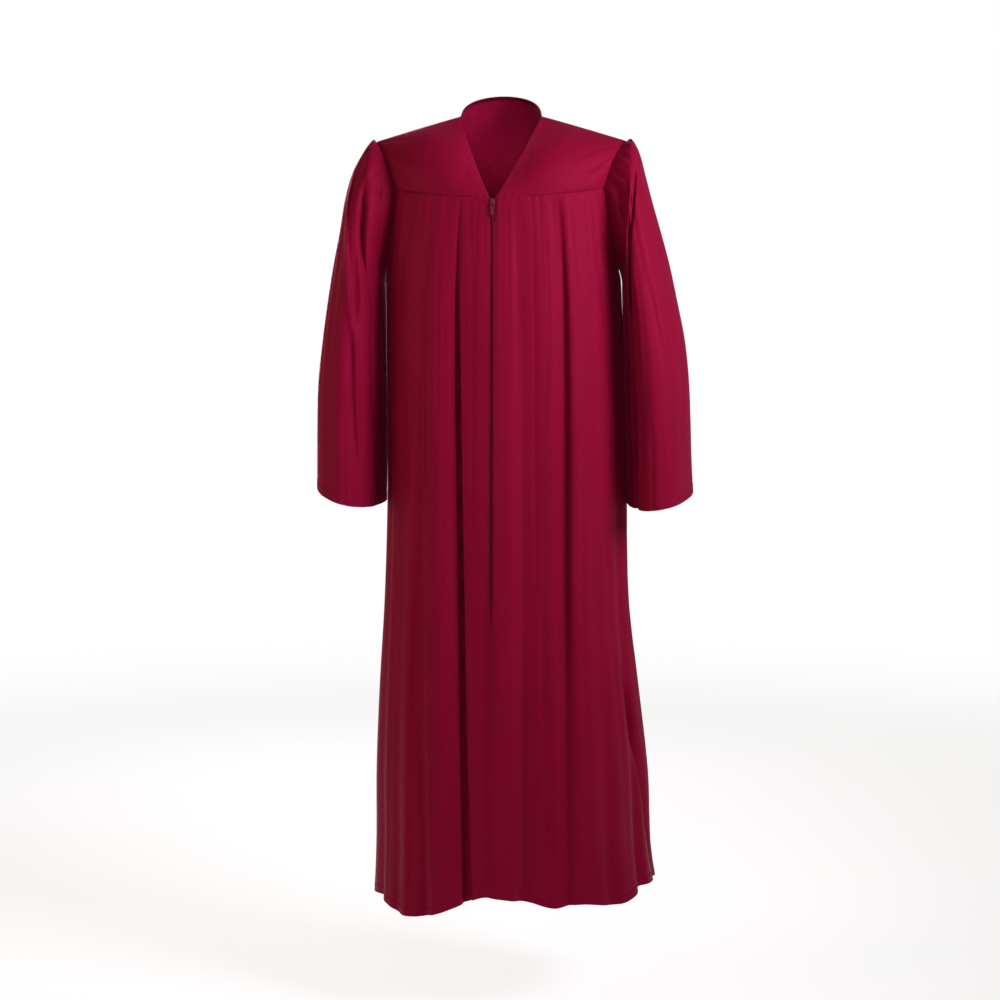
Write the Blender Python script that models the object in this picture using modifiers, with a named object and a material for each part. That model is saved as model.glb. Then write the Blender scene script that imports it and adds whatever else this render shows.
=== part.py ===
# Graduation gown, filled out as if worn, built from its sewn pieces.
# Metres, +Z up. The front faces -Y and the wearer's left is +X.
# The origin lies midway between the two neck points of the shoulders, where the gown is held up.

import math

import bmesh
import bpy
import numpy as np
from mathutils import Vector

COLLECTION_NAME = "graduation_gown"
CUTTER_COLLECTION_NAME = "shaping_tools"

# Cloth
WALL = 0.0015
SEAM_GAP = 0.0003
BAND_WALL = 0.001
TAPE_WALL = 0.0008

# Body sections, top to bottom: height, the two side edges, and the front and back depths
CENTRE_X = -0.005
SECTION_POWER = 2.3
BODY_COLUMNS = ("z", "right_x", "left_x", "front_y", "back_y")
BODY_ROWS = (
    (-0.030, -0.172, 0.177, -0.086, 0.090),
    (-0.115, -0.180, 0.185, -0.117, 0.112),
    (-0.240, -0.186, 0.192, -0.136, 0.126),
    (-0.400, -0.186, 0.198, -0.146, 0.128),
    (-0.620, -0.186, 0.204, -0.154, 0.132),
    (-0.790, -0.192, 0.208, -0.160, 0.139),
    (-0.920, -0.200, 0.223, -0.165, 0.146),
    (-1.060, -0.206, 0.239, -0.170, 0.153),
    (-1.190, -0.207, 0.248, -0.176, 0.160),
    (-1.290, -0.211, 0.264, -0.181, 0.166),
)

# Height of the hem's edge round the gown: 0 is the zip, 90 the left side, -90 the right side
HEM_COLUMNS = ("round_deg", "z")
HEM_ROWS = (
    (-270.0, -1.247),
    (-235.0, -1.268),
    (-205.0, -1.280),
    (-180.0, -1.284),
    (-150.0, -1.281),
    (-120.0, -1.288),
    (-90.0, -1.276),
    (-68.0, -1.268),
    (-44.0, -1.285),
    (-30.0, -1.277),
    (-17.0, -1.261),
    (-4.0, -1.246),
    (8.0, -1.249),
    (20.0, -1.254),
    (31.0, -1.264),
    (42.0, -1.258),
    (60.0, -1.264),
    (75.0, -1.247),
    (90.0, -1.247),
)

# Folds of the front, in order round the gown. Each lies at three places round it, under the yoke,
# halfway and at the hem, with three depths there, and a reach to its right and to its left.
FOLD_COLUMNS = ("top_deg", "mid_deg", "hem_deg", "top_depth", "mid_depth", "hem_depth",
                "right_reach", "left_reach")
FRONT_FOLDS = (
    (-74.0, -71.0, -67.0, 0.001, 0.005, 0.009, 0.017, 0.014),
    (-56.0, -55.0, -51.0, 0.001, 0.004, 0.006, 0.013, 0.012),
    (-42.0, -41.0, -33.0, 0.002, 0.006, 0.008, 0.019, 0.007),
    (-24.0, -19.0, -11.5, 0.003, 0.018, 0.018, 0.020, 0.006),
    (-22.5, -17.5, -10.0, 0.002, 0.009, 0.009, 0.006, 0.045),
    (10.5, 9.0, 8.0, 0.001, 0.002, 0.004, 0.012, 0.009),
    (20.0, 19.0, 17.0, 0.003, 0.017, 0.015, 0.016, 0.075),
    (43.0, 42.0, 38.0, 0.005, 0.014, 0.012, 0.012, 0.006),
    (59.0, 57.0, 56.0, 0.001, 0.003, 0.006, 0.012, 0.014),
    (74.0, 75.0, 73.0, 0.001, 0.005, 0.013, 0.015, 0.012),
)
# Folds of the back, with the same columns
BACK_FOLDS = (
    (-104.0, -103.0, -101.0, 0.001, 0.006, 0.009, 0.014, 0.016),
    (-119.0, -120.0, -121.0, 0.002, 0.008, 0.008, 0.013, 0.009),
    (-133.0, -134.0, -136.0, 0.003, 0.010, 0.011, 0.010, 0.012),
    (-146.0, -148.0, -149.0, 0.003, 0.007, 0.009, 0.011, 0.008),
    (-159.0, -160.0, -163.0, 0.003, 0.011, 0.010, 0.010, 0.011),
    (-172.0, -173.0, -175.0, 0.003, 0.009, 0.012, 0.009, 0.010),
    (-187.0, -186.0, -187.0, 0.003, 0.011, 0.010, 0.011, 0.009),
    (-201.0, -200.0, -199.0, 0.003, 0.008, 0.011, 0.009, 0.012),
    (-214.0, -212.0, -211.0, 0.003, 0.010, 0.008, 0.012, 0.009),
    (-227.0, -226.0, -224.0, 0.003, 0.007, 0.010, 0.010, 0.012),
    (-241.0, -240.0, -239.0, 0.002, 0.009, 0.009, 0.013, 0.011),
    (-256.0, -257.0, -258.0, 0.001, 0.006, 0.010, 0.016, 0.013),
)
FOLD_RUN_IN = 0.022
FAN_SHARE = 0.4

# Yoke, neck and armhole
NECK_X = 0.065
SHOULDER_X = 0.203
SHOULDER_END_Z = -0.037
SHOULDER_CURVE = 1.05
NECK_POINT_Z = 0.003
BACK_NECK_DEPTH = 0.062
BACK_NECK_RISE = 0.036
BACK_NECK_POWER = 0.8
SEAM_CENTRE_Z = -0.1305
SEAM_END_Z = -0.1155
ARMHOLE_DEG = 72.0
UNDERARM_Z = -0.245
VEE_KNEE = (0.050, -0.078, -0.045)
VEE_REACH = 0.45
YOKE_KNEE_FORWARD = 0.95
YOKE_KNEE_DROP = 0.016
BACK_KNEE_OUT = 0.90
NECK_KNEE_SHARE = 0.45
SHOULDER_SHARE = 0.29
SHOULDER_SHARE_DEG = 34.0

# Front opening: half its width down the zip, and where the zip ends
OPENING_COLUMNS = ("z", "half_width")
OPENING_ROWS = (
    (-0.120, 0.0046),
    (-0.150, 0.0046),
    (-0.190, 0.0022),
    (-0.771, 0.0022),
    (-0.810, 0.00015),
    (-1.300, 0.00015),
)
ZIP_END_Z = -0.775
TAPE_END_Z = -0.800
TAPE_DEPTH = WALL + 2.0 * SEAM_GAP
TAPE_EDGE = 0.0010
TAPE_WIDTH = 0.0095
TAPE_START = 0.004

# Sleeve sections from the armhole down. Outer and inner points lie in the front view, and the
# front and back reaches give each ring its depth.
SLEEVE_COLUMNS = ("outer_x", "outer_z", "inner_x", "inner_z", "front_y", "back_y")
LEFT_SLEEVE_ROWS = (
    (0.2130, -0.0365, 0.1968, -0.2620, -0.084, 0.094),
    (0.2250, -0.0590, 0.1975, -0.2800, -0.092, 0.101),
    (0.2340, -0.0920, 0.1984, -0.3000, -0.098, 0.108),
    (0.2455, -0.1350, 0.1993, -0.3250, -0.104, 0.115),
    (0.2600, -0.1850, 0.2004, -0.3520, -0.109, 0.121),
    (0.2740, -0.2360, 0.2015, -0.3800, -0.113, 0.127),
    (0.2880, -0.3000, 0.2028, -0.4150, -0.117, 0.133),
    (0.3000, -0.3600, 0.2042, -0.4550, -0.120, 0.138),
    (0.3070, -0.4250, 0.2055, -0.4980, -0.122, 0.143),
    (0.3100, -0.4900, 0.2068, -0.5420, -0.124, 0.147),
    (0.3120, -0.5500, 0.2080, -0.5850, -0.126, 0.150),
    (0.3150, -0.6050, 0.2090, -0.6240, -0.127, 0.152),
)
RIGHT_SLEEVE_ROWS = (
    (-0.2100, -0.0365, -0.1898, -0.2620, -0.084, 0.094),
    (-0.2270, -0.0600, -0.1900, -0.2800, -0.092, 0.101),
    (-0.2430, -0.0920, -0.1900, -0.3000, -0.098, 0.108),
    (-0.2540, -0.1330, -0.1900, -0.3250, -0.104, 0.115),
    (-0.2620, -0.1820, -0.1900, -0.3520, -0.109, 0.121),
    (-0.2720, -0.2320, -0.1900, -0.3800, -0.113, 0.127),
    (-0.2825, -0.2960, -0.1900, -0.4150, -0.117, 0.133),
    (-0.2915, -0.3600, -0.1900, -0.4550, -0.120, 0.138),
    (-0.2985, -0.4250, -0.1902, -0.4980, -0.122, 0.143),
    (-0.3005, -0.4880, -0.1905, -0.5420, -0.124, 0.147),
    (-0.3010, -0.5450, -0.1910, -0.5850, -0.126, 0.150),
    (-0.3015, -0.5950, -0.1918, -0.6240, -0.127, 0.152),
)
CUFF_FRONT_DIP = 0.010
SLEEVE_STAND_OFF = 0.0004

# Sleeve folds: where they lie round the sleeve (0 outer, 90 front, 180 inner, 270 back) at the
# armhole and the cuff, their depths at the head, halfway and at the cuff, and their reach.
SLEEVE_FOLD_COLUMNS = ("top_deg", "cuff_deg", "top_depth", "mid_depth", "cuff_depth", "reach_deg")
LEFT_SLEEVE_FOLDS = (
    (48.0, 42.0, 0.003, 0.004, 0.003, 13.0),
    (126.0, 140.0, 0.007, 0.010, 0.005, 15.0),
    (78.0, 84.0, 0.003, 0.003, 0.002, 12.0),
    (232.0, 222.0, 0.005, 0.009, 0.006, 16.0),
    (290.0, 286.0, 0.004, 0.007, 0.005, 17.0),
    (330.0, 326.0, 0.002, 0.005, 0.003, 14.0),
)
RIGHT_SLEEVE_FOLDS = (
    (30.0, 66.0, 0.003, 0.006, 0.002, 13.0),
    (74.0, 118.0, 0.004, 0.009, 0.005, 16.0),
    (118.0, 152.0, 0.006, 0.007, 0.003, 14.0),
    (228.0, 236.0, 0.005, 0.008, 0.006, 17.0),
    (276.0, 284.0, 0.004, 0.008, 0.005, 16.0),
    (322.0, 330.0, 0.002, 0.004, 0.003, 14.0),
)
GATHER_DEPTHS = (0.0028, 0.0030, 0.0022, 0.0013, 0.0006)
GATHER_REACH_DEG = 112.0
GATHER_FADE_DEG = 40.0

# Hard parts of the zip
SLIDER_Z = -0.1385
SLIDER_SIZE = (0.0072, 0.0012, 0.0105)
SLIDER_ROOM = 0.0018
SLIDER_BEVEL = 0.0004
BEVEL_STEPS = 2
POST_WIDTH = 0.0014
POST_HEIGHT = 0.0032
POST_RISE = 0.0030
SLOPE_STEP = 0.01
BRIDGE_RADIUS = 0.0006
BRIDGE_STEPS = 8
BRIDGE_FULLNESS = 1.35
MERGE_DISTANCE = 0.00001
BRIDGE_OUT = 0.0026
BRIDGE_SEAT = 0.0004
BRIDGE_HALF = 0.0038
TAB_AXIS_OUT = 0.0011
TAB_AXIS_DROP = 0.0012
TAB_THICKNESS = 0.0010
TAB_BAR = 0.0005
TAB_EYE_LENGTH = 0.0066
TAB_EYE_HALF = 0.0012
TAB_EYE_CORNER = 0.0006
CORNER_STEPS = 3
TAB_HALF = 0.0026
TAB_LENGTH = 0.0205
STOP_SIZE = (0.0030, 0.0016, 0.0030)

# How finely each piece is divided
PANEL_COLUMNS = 26
ARMHOLE_STEPS = 6
BACK_COLUMNS = 38
PANEL_DOWN = (0.0, 0.014, 0.034, 0.07, 0.13, 0.21, 0.32, 0.44, 0.575, 0.612, 0.70, 0.80, 0.90, 1.0)
YOKE_COLUMNS = 11
YOKE_ROWS = 6
BACK_YOKE_SHOULDER = 6
BACK_YOKE_NECK = 12
VEE_BAND_SHARE = 0.065
BACK_BAND_SHARE = 0.06
BAND_START = 0.02
NORMAL_STEP = 0.002
EDGE_ANGLE = math.radians(60.0)

X_AXIS = 0
Y_AXIS = 1
Z_AXIS = 2
TOP_EDGE = np.s_[0, :]
BOTTOM_EDGE = np.s_[-1, :]
FIRST_EDGE = np.s_[:, 0]
LAST_EDGE = np.s_[:, -1]

RIGHT = -1.0
LEFT = 1.0

MATERIALS = {
    "gown_cloth": ((0.24, 0.006, 0.030, 1.0), 0.52, 0.0),
    "inside_cloth": ((0.17, 0.004, 0.016, 1.0), 0.60, 0.0),
    "zip_tape": ((0.12, 0.006, 0.018, 1.0), 0.70, 0.0),
    "zip_metal": ((0.32, 0.14, 0.17, 1.0), 0.35, 0.9),
}


def clear_scene():
    for thing in list(bpy.data.objects):
        bpy.data.objects.remove(thing, do_unlink=True)


def make_collection(name):
    collection = bpy.data.collections.new(name)
    bpy.context.scene.collection.children.link(collection)
    return collection


def make_material(name):
    colour, roughness, metallic = MATERIALS[name]
    material = bpy.data.materials.new(name)
    material.use_nodes = True
    shader = material.node_tree.nodes["Principled BSDF"]
    shader.inputs["Base Color"].default_value = colour
    shader.inputs["Roughness"].default_value = roughness
    shader.inputs["Metallic"].default_value = metallic
    return material


def column(rows, names, name):
    return np.array([row[names.index(name)] for row in rows])


def smooth_between(x, knots, values):
    """A smooth curve through a table's values, read at x."""
    slopes = np.gradient(values, knots)
    x = np.clip(x, knots[0], knots[-1])
    index = np.clip(np.searchsorted(knots, x) - 1, 0, len(knots) - 2)
    width = knots[index + 1] - knots[index]
    t = (x - knots[index]) / width
    rise = t * t * (3.0 - 2.0 * t)
    start = values[index] + slopes[index] * width * t * (1.0 - t) ** 2
    end = (values[index + 1] - values[index]) * rise
    return start + end - slopes[index + 1] * width * t * t * (1.0 - t)


def smooth_step(x):
    x = np.clip(x, 0.0, 1.0)
    return x * x * (3.0 - 2.0 * x)


def body_value(name, z):
    heights = column(BODY_ROWS, BODY_COLUMNS, "z")[::-1]
    return smooth_between(z, heights, column(BODY_ROWS, BODY_COLUMNS, name)[::-1])


def hem_height(round_deg):
    knots = column(HEM_ROWS, HEM_COLUMNS, "round_deg")
    return smooth_between(round_deg, knots, column(HEM_ROWS, HEM_COLUMNS, "z"))


def seam_height(round_deg):
    """Height of the yoke seam, which rises from the zip and the centre back to the armholes."""
    from_middle = np.minimum(np.abs(round_deg), np.abs(np.abs(round_deg) - 180.0))
    return SEAM_CENTRE_Z + (SEAM_END_Z - SEAM_CENTRE_Z) * (from_middle / ARMHOLE_DEG) ** 2


def opening_half(z):
    heights = column(OPENING_ROWS, OPENING_COLUMNS, "z")[::-1]
    return np.interp(z, heights, column(OPENING_ROWS, OPENING_COLUMNS, "half_width")[::-1])


def through_three(first, middle, last, t):
    """The parabola through three values at t = 0, 0.5 and 1."""
    return (first * (1.0 - t) * (1.0 - 2.0 * t) + 4.0 * middle * t * (1.0 - t)
            + last * t * (2.0 * t - 1.0))


def fold_depth(round_deg, z, radius):
    """How far the folds draw the cloth in at a place on the body."""
    t = np.clip((z - SEAM_CENTRE_Z) / (hem_height(round_deg) - SEAM_CENTRE_Z), 0.0, 1.0)
    total = np.zeros_like(t)
    for row in FRONT_FOLDS + BACK_FOLDS:
        fold = dict(zip(FOLD_COLUMNS, row))
        place = through_three(fold["top_deg"], fold["mid_deg"], fold["hem_deg"], t)
        depth = through_three(fold["top_depth"], fold["mid_depth"], fold["hem_depth"], t)
        away = np.radians(round_deg - place) * radius
        reach = np.where(away < 0.0, fold["right_reach"], fold["left_reach"])
        total += depth * np.exp(-(away / reach) ** 2)
    return total


def body_point(round_deg, z, run_in=1.0):
    """A point of the gown's outer surface, round_deg from the zip, folds included."""
    round_deg, z, run_in = np.broadcast_arrays(round_deg, z, run_in)
    sine = np.sin(np.radians(round_deg))
    cosine = np.cos(np.radians(round_deg))
    right_half = CENTRE_X - body_value("right_x", z)
    half_x = np.where(sine < 0.0, right_half, body_value("left_x", z) - CENTRE_X)
    half_y = np.where(cosine > 0.0, -body_value("front_y", z), body_value("back_y", z))
    across = np.abs(sine) / half_x
    along = np.abs(cosine) / half_y
    radius = (across ** SECTION_POWER + along ** SECTION_POWER) ** (-1.0 / SECTION_POWER)
    out_x = np.sign(sine) * across ** (SECTION_POWER - 1.0) / half_x
    out_y = -np.sign(cosine) * along ** (SECTION_POWER - 1.0) / half_y
    size = np.hypot(out_x, out_y)
    inward = fold_depth(round_deg, z, radius) * run_in
    x = CENTRE_X + radius * sine - inward * out_x / size
    y = -radius * cosine - inward * out_y / size
    return np.stack([x, y, z], axis=-1)


def armhole_quarter(share):
    """Degrees past the armhole's start and height, from the yoke seam (0) to the underarm (1)."""
    turn = np.clip(share, 0.0, 1.0) * math.pi / 2.0
    degrees = (90.0 - ARMHOLE_DEG) * (1.0 - np.cos(turn))
    return degrees, SEAM_END_Z + (UNDERARM_Z - SEAM_END_Z) * np.sin(turn)


def panel_surface(top_deg, top_z, hem_deg, down):
    """A point of a body panel: its column fans out from the top edge to the hem."""
    fan = smooth_step(down / FAN_SHARE)
    round_deg = top_deg + (hem_deg - top_deg) * fan
    z = top_z + (hem_height(hem_deg) - top_z) * down
    run_in = 1.0 - np.exp(-(top_z - z) / FOLD_RUN_IN)
    return body_point(round_deg, z, run_in)


def front_panel_surface(side):
    seam_share = PANEL_COLUMNS / (PANEL_COLUMNS + ARMHOLE_STEPS)

    def surface(across, down):
        on_seam = np.clip(across / seam_share, None, 1.0)
        extra_deg, armhole_z = armhole_quarter((across - seam_share) / (1.0 - seam_share))
        edge_z = SEAM_CENTRE_Z + (hem_height(0.0) - SEAM_CENTRE_Z) * down
        edge_deg = np.degrees(np.arctan2(opening_half(edge_z), -body_value("front_y", edge_z)))
        top_deg = edge_deg + (ARMHOLE_DEG - edge_deg) * on_seam + extra_deg
        top_z = np.where(across <= seam_share, seam_height(top_deg), armhole_z) - SEAM_GAP / 2.0
        hem_deg = edge_deg + (90.0 - edge_deg) * across
        return panel_surface(side * top_deg, top_z, side * hem_deg, down)

    return surface


def back_panel_surface(across, down):
    steps = BACK_COLUMNS + 2 * ARMHOLE_STEPS
    share = ARMHOLE_STEPS / steps
    near_side = np.minimum(across, 1.0 - across)
    extra_deg, armhole_z = armhole_quarter(1.0 - near_side / share)
    from_side = np.where(
        near_side < share,
        90.0 - ARMHOLE_DEG - extra_deg,
        90.0 - ARMHOLE_DEG + (near_side - share) / (0.5 - share) * ARMHOLE_DEG,
    )
    turn = np.where(across < 0.5, from_side, 180.0 - from_side)
    top_deg = -90.0 - turn
    top_z = np.where(near_side >= share, seam_height(top_deg), armhole_z) - SEAM_GAP / 2.0
    return panel_surface(top_deg, top_z, -90.0 - 180.0 * across, down)


def shoulder_height(x):
    share = np.clip((np.abs(x) - NECK_X) / (SHOULDER_X - NECK_X), 0.0, None)
    return NECK_POINT_Z + (SHOULDER_END_Z - NECK_POINT_Z) * share ** SHOULDER_CURVE


def bend(start, knee, end, t):
    """A curve from start to end that leaves and arrives along the lines to its knee."""
    t = np.asarray(t)[..., None]
    return start * (1.0 - t) ** 2 + 2.0 * knee * t * (1.0 - t) + end * t * t


def front_yoke_surface(side):
    def surface(across, down):
        across, down = np.broadcast_arrays(across, down)
        shoulder_x = side * (NECK_X + (SHOULDER_X - NECK_X) * across)
        forward = np.full_like(shoulder_x, -SEAM_GAP / 2.0)
        start = np.stack([shoulder_x, forward, shoulder_height(shoulder_x)], axis=-1)
        front_y = body_value("front_y", SEAM_CENTRE_Z)
        edge_deg = np.degrees(np.arctan2(opening_half(SEAM_CENTRE_Z), -front_y))
        round_deg = side * (edge_deg + (ARMHOLE_DEG - edge_deg) * across)
        end = body_point(round_deg, seam_height(round_deg) + SEAM_GAP / 2.0, 0.0)
        knee_x = (start[..., X_AXIS] + end[..., X_AXIS]) / 2.0
        knee_y = end[..., Y_AXIS] * YOKE_KNEE_FORWARD
        knee = np.stack([knee_x, knee_y, start[..., Z_AXIS] - YOKE_KNEE_DROP], axis=-1)
        vee_knee = np.array([side * VEE_KNEE[0], VEE_KNEE[1], VEE_KNEE[2]])
        near_vee = 1.0 - smooth_step(across / VEE_REACH)
        knee = knee + (vee_knee - knee) * near_vee[..., None]
        return bend(start, knee, end, down)

    return surface


def back_yoke_surface(across, down):
    across, down = np.broadcast_arrays(across, down)
    near_side = np.minimum(across, 1.0 - across)
    side = np.where(across < 0.5, RIGHT, LEFT)
    on_shoulder = np.clip(near_side / SHOULDER_SHARE, None, 1.0)
    round_neck = np.clip((near_side - SHOULDER_SHARE) / (0.5 - SHOULDER_SHARE), 0.0, 1.0) * math.pi / 2.0
    shoulder_x = SHOULDER_X - (SHOULDER_X - NECK_X) * on_shoulder
    start_x = np.where(near_side < SHOULDER_SHARE, shoulder_x, NECK_X * np.cos(round_neck))
    start_y = SEAM_GAP / 2.0 + BACK_NECK_DEPTH * np.sin(round_neck)
    neck_z = NECK_POINT_Z + BACK_NECK_RISE * np.sin(round_neck) ** BACK_NECK_POWER
    start_z = np.where(near_side < SHOULDER_SHARE, shoulder_height(shoulder_x), neck_z)
    start = np.stack([side * start_x, start_y, start_z], axis=-1)
    from_armhole = on_shoulder * SHOULDER_SHARE_DEG + round_neck / (math.pi / 2.0) * (
        ARMHOLE_DEG - SHOULDER_SHARE_DEG)
    turn = 180.0 - ARMHOLE_DEG + from_armhole
    round_deg = np.where(across < 0.5, -turn, -360.0 + turn)
    end = body_point(round_deg, seam_height(round_deg) + SEAM_GAP / 2.0, 0.0)
    knee_x = (start[..., X_AXIS] + end[..., X_AXIS]) / 2.0
    start_rise = np.where(start[..., Z_AXIS] > 0.0, NECK_KNEE_SHARE, 1.0)
    knee_z = start[..., Z_AXIS] * start_rise - YOKE_KNEE_DROP
    knee = np.stack([knee_x, end[..., Y_AXIS] * BACK_KNEE_OUT, knee_z], axis=-1)
    return bend(start, knee, end, down)


def surface_grid(surface, across, down, lift=0.0):
    """Points of a surface, one row for each step down, moved out along the surface by lift."""
    spread, drop = np.meshgrid(np.asarray(across), np.asarray(down))
    points = surface(spread, drop)
    if lift == 0.0:
        return points
    sideways = surface(spread + NORMAL_STEP, drop) - surface(spread - NORMAL_STEP, drop)
    downwards = surface(spread, drop + NORMAL_STEP) - surface(spread, drop - NORMAL_STEP)
    outward = np.cross(downwards, sideways)
    outward /= np.linalg.norm(outward, axis=-1, keepdims=True)
    if np.mean(outward[..., :2] * points[..., :2]) < 0.0:
        outward = -outward
    return points + outward * lift


def outward_directions(grid, closed):
    """Directions straight out of the cloth at each point of a grid."""
    downwards = np.gradient(grid, axis=0)
    if closed:
        sideways = np.roll(grid, -1, axis=1) - np.roll(grid, 1, axis=1)
        middle = grid.mean(axis=1, keepdims=True)
    else:
        sideways = np.gradient(grid, axis=1)
        middle = np.zeros(3)
    outward = np.cross(downwards, sideways)
    outward /= np.linalg.norm(outward, axis=-1, keepdims=True)
    if np.mean((outward * (grid - middle))[..., :2]) < 0.0:
        outward = -outward
    return outward


def cloth_object(name, grid, collection, material, wall=WALL, closed=False, square_edges=()):
    """A cloth wall: the grid is its outer side and the wall lies within.

    Each of square_edges gives an edge of the grid and the axis along which its seam parts two
    pieces, and there the wall's edge stands square to that axis.
    """
    outward = outward_directions(grid, closed)
    for edge, axis in square_edges:
        along = outward[edge]
        along[:, axis] = 0.0
        outward[edge] = along / np.linalg.norm(along, axis=-1, keepdims=True)
    rows, columns = grid.shape[:2]
    bm = bmesh.new()
    outer = [[bm.verts.new(point) for point in row] for row in grid.tolist()]
    inner = [[bm.verts.new(point) for point in row] for row in (grid - outward * wall).tolist()]
    spans = columns if closed else columns - 1
    for side in (outer, inner):
        for row in range(rows - 1):
            for place in range(spans):
                beside = (place + 1) % columns
                above, below = side[row], side[row + 1]
                bm.faces.new((above[place], below[place], below[beside], above[beside]))
    for row in (0, rows - 1):
        for place in range(spans):
            beside = (place + 1) % columns
            bm.faces.new((outer[row][place], outer[row][beside], inner[row][beside], inner[row][place]))
    if not closed:
        for place in (0, columns - 1):
            for row in range(rows - 1):
                upper = (inner[row][place], outer[row][place])
                bm.faces.new((*upper, outer[row + 1][place], inner[row + 1][place]))
    bmesh.ops.recalc_face_normals(bm, faces=bm.faces)
    mesh = bpy.data.meshes.new(name)
    bm.to_mesh(mesh)
    bm.free()
    mesh.shade_smooth()
    mesh.set_sharp_from_angle(angle=EDGE_ANGLE)
    mesh.materials.append(material)
    piece = bpy.data.objects.new(name, mesh)
    collection.objects.link(piece)
    return piece


def yoke_rows():
    """Steps down the yokes: the neck band's depth first, then even steps to the seam."""
    return np.concatenate([[0.0], np.linspace(BACK_BAND_SHARE, 1.0, YOKE_ROWS)])


def back_neck_columns():
    return np.linspace(SHOULDER_SHARE, 1.0 - SHOULDER_SHARE, BACK_YOKE_NECK + 1)


def armhole_loop(side):
    """The armhole's edge from the shoulder round the front, the underarm and the back."""
    yoke_down = yoke_rows()
    front_yoke = surface_grid(front_yoke_surface(side), [1.0], yoke_down)[:, 0]
    back_yoke = surface_grid(back_yoke_surface, [0.0 if side == RIGHT else 1.0], yoke_down)[:, 0]
    front_steps = PANEL_COLUMNS + ARMHOLE_STEPS
    front_across = np.arange(PANEL_COLUMNS, front_steps + 1) / front_steps
    front = surface_grid(front_panel_surface(side), front_across, [0.0])[0]
    back_steps = BACK_COLUMNS + 2 * ARMHOLE_STEPS
    back_across = np.arange(ARMHOLE_STEPS + 1) / back_steps
    if side == LEFT:
        back_across = 1.0 - back_across
    back = surface_grid(back_panel_surface, back_across, [0.0])[0]
    loop = [(front_yoke[0] + back_yoke[0]) / 2.0]
    loop.extend(front_yoke[1:-1])
    loop.append((front_yoke[-1] + front[0]) / 2.0)
    loop.extend(front[1:-1])
    loop.append((front[-1] + back[0]) / 2.0)
    loop.extend(back[1:-1])
    loop.append((back[-1] + back_yoke[-1]) / 2.0)
    loop.extend(back_yoke[-2:0:-1])
    return np.array(loop)


def sleeve_ring(row, turns):
    """A ring of the sleeve through its outer, front, inner and back points."""
    place = dict(zip(SLEEVE_COLUMNS, row))
    outer = (1.0 + np.cos(turns)) / 2.0
    sine = np.sin(turns)
    x = place["inner_x"] + (place["outer_x"] - place["inner_x"]) * outer
    y = np.where(sine > 0.0, place["front_y"] * sine, -place["back_y"] * sine)
    z = place["inner_z"] + (place["outer_z"] - place["inner_z"]) * outer
    return np.stack([x, y, z], axis=-1)


def sleeve_grid(side, rows, folds):
    """Rings from the armhole to the cuff, with the gathers of the head and the long folds."""
    loop = armhole_loop(side)
    between = (loop + np.roll(loop, -1, axis=0)) / 2.0
    first = np.stack([loop, between], axis=1).reshape(-1, 3)
    first[:, X_AXIS] += side * SLEEVE_STAND_OFF
    count = len(first)
    turns = np.arange(count) / count * 2.0 * math.pi
    degrees = np.degrees(turns)
    from_top = np.minimum(degrees, 360.0 - degrees)
    gather_window = smooth_step((GATHER_REACH_DEG - from_top) / GATHER_FADE_DEG)
    rings = [first]
    for index, row in enumerate(rows):
        ring = sleeve_ring(row, turns)
        down = index / (len(rows) - 1)
        centre = ring.mean(axis=0)
        outward = ring - centre
        outward /= np.linalg.norm(outward, axis=-1, keepdims=True)
        inward = np.zeros(count)
        for fold_row in folds:
            fold = dict(zip(SLEEVE_FOLD_COLUMNS, fold_row))
            place = fold["top_deg"] + (fold["cuff_deg"] - fold["top_deg"]) * down
            away = (degrees - place + 180.0) % 360.0 - 180.0
            depth = through_three(fold["top_depth"], fold["mid_depth"], fold["cuff_depth"], down)
            inward += depth * np.exp(-(away / fold["reach_deg"]) ** 2)
        if index < len(GATHER_DEPTHS):
            ridge = np.where(np.arange(count) % 2 == 1, 1.0, -1.0)
            inward -= GATHER_DEPTHS[index] * ridge * gather_window
        ring = ring - outward * inward[:, None]
        ring[:, Z_AXIS] -= CUFF_FRONT_DIP * np.clip(np.sin(turns), 0.0, 1.0) * down ** 3
        rings.append(ring)
    return np.array(rings)


def build_panels(collection, cloth):
    steps = PANEL_COLUMNS + ARMHOLE_STEPS
    across = np.arange(steps + 1) / steps
    for name, side in (("front_panel_right", RIGHT), ("front_panel_left", LEFT)):
        grid = surface_grid(front_panel_surface(side), across, PANEL_DOWN)
        grid[:, -1, Y_AXIS] -= SEAM_GAP / 2.0
        edges = ((FIRST_EDGE, X_AXIS), (LAST_EDGE, Y_AXIS))
        cloth_object(name, grid, collection, cloth, square_edges=edges)
    back_steps = BACK_COLUMNS + 2 * ARMHOLE_STEPS
    grid = surface_grid(back_panel_surface, np.arange(back_steps + 1) / back_steps, PANEL_DOWN)
    grid[:, 0, Y_AXIS] += SEAM_GAP / 2.0
    grid[:, -1, Y_AXIS] += SEAM_GAP / 2.0
    edges = ((FIRST_EDGE, Y_AXIS), (LAST_EDGE, Y_AXIS))
    cloth_object("back_panel", grid, collection, cloth, square_edges=edges)


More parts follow.
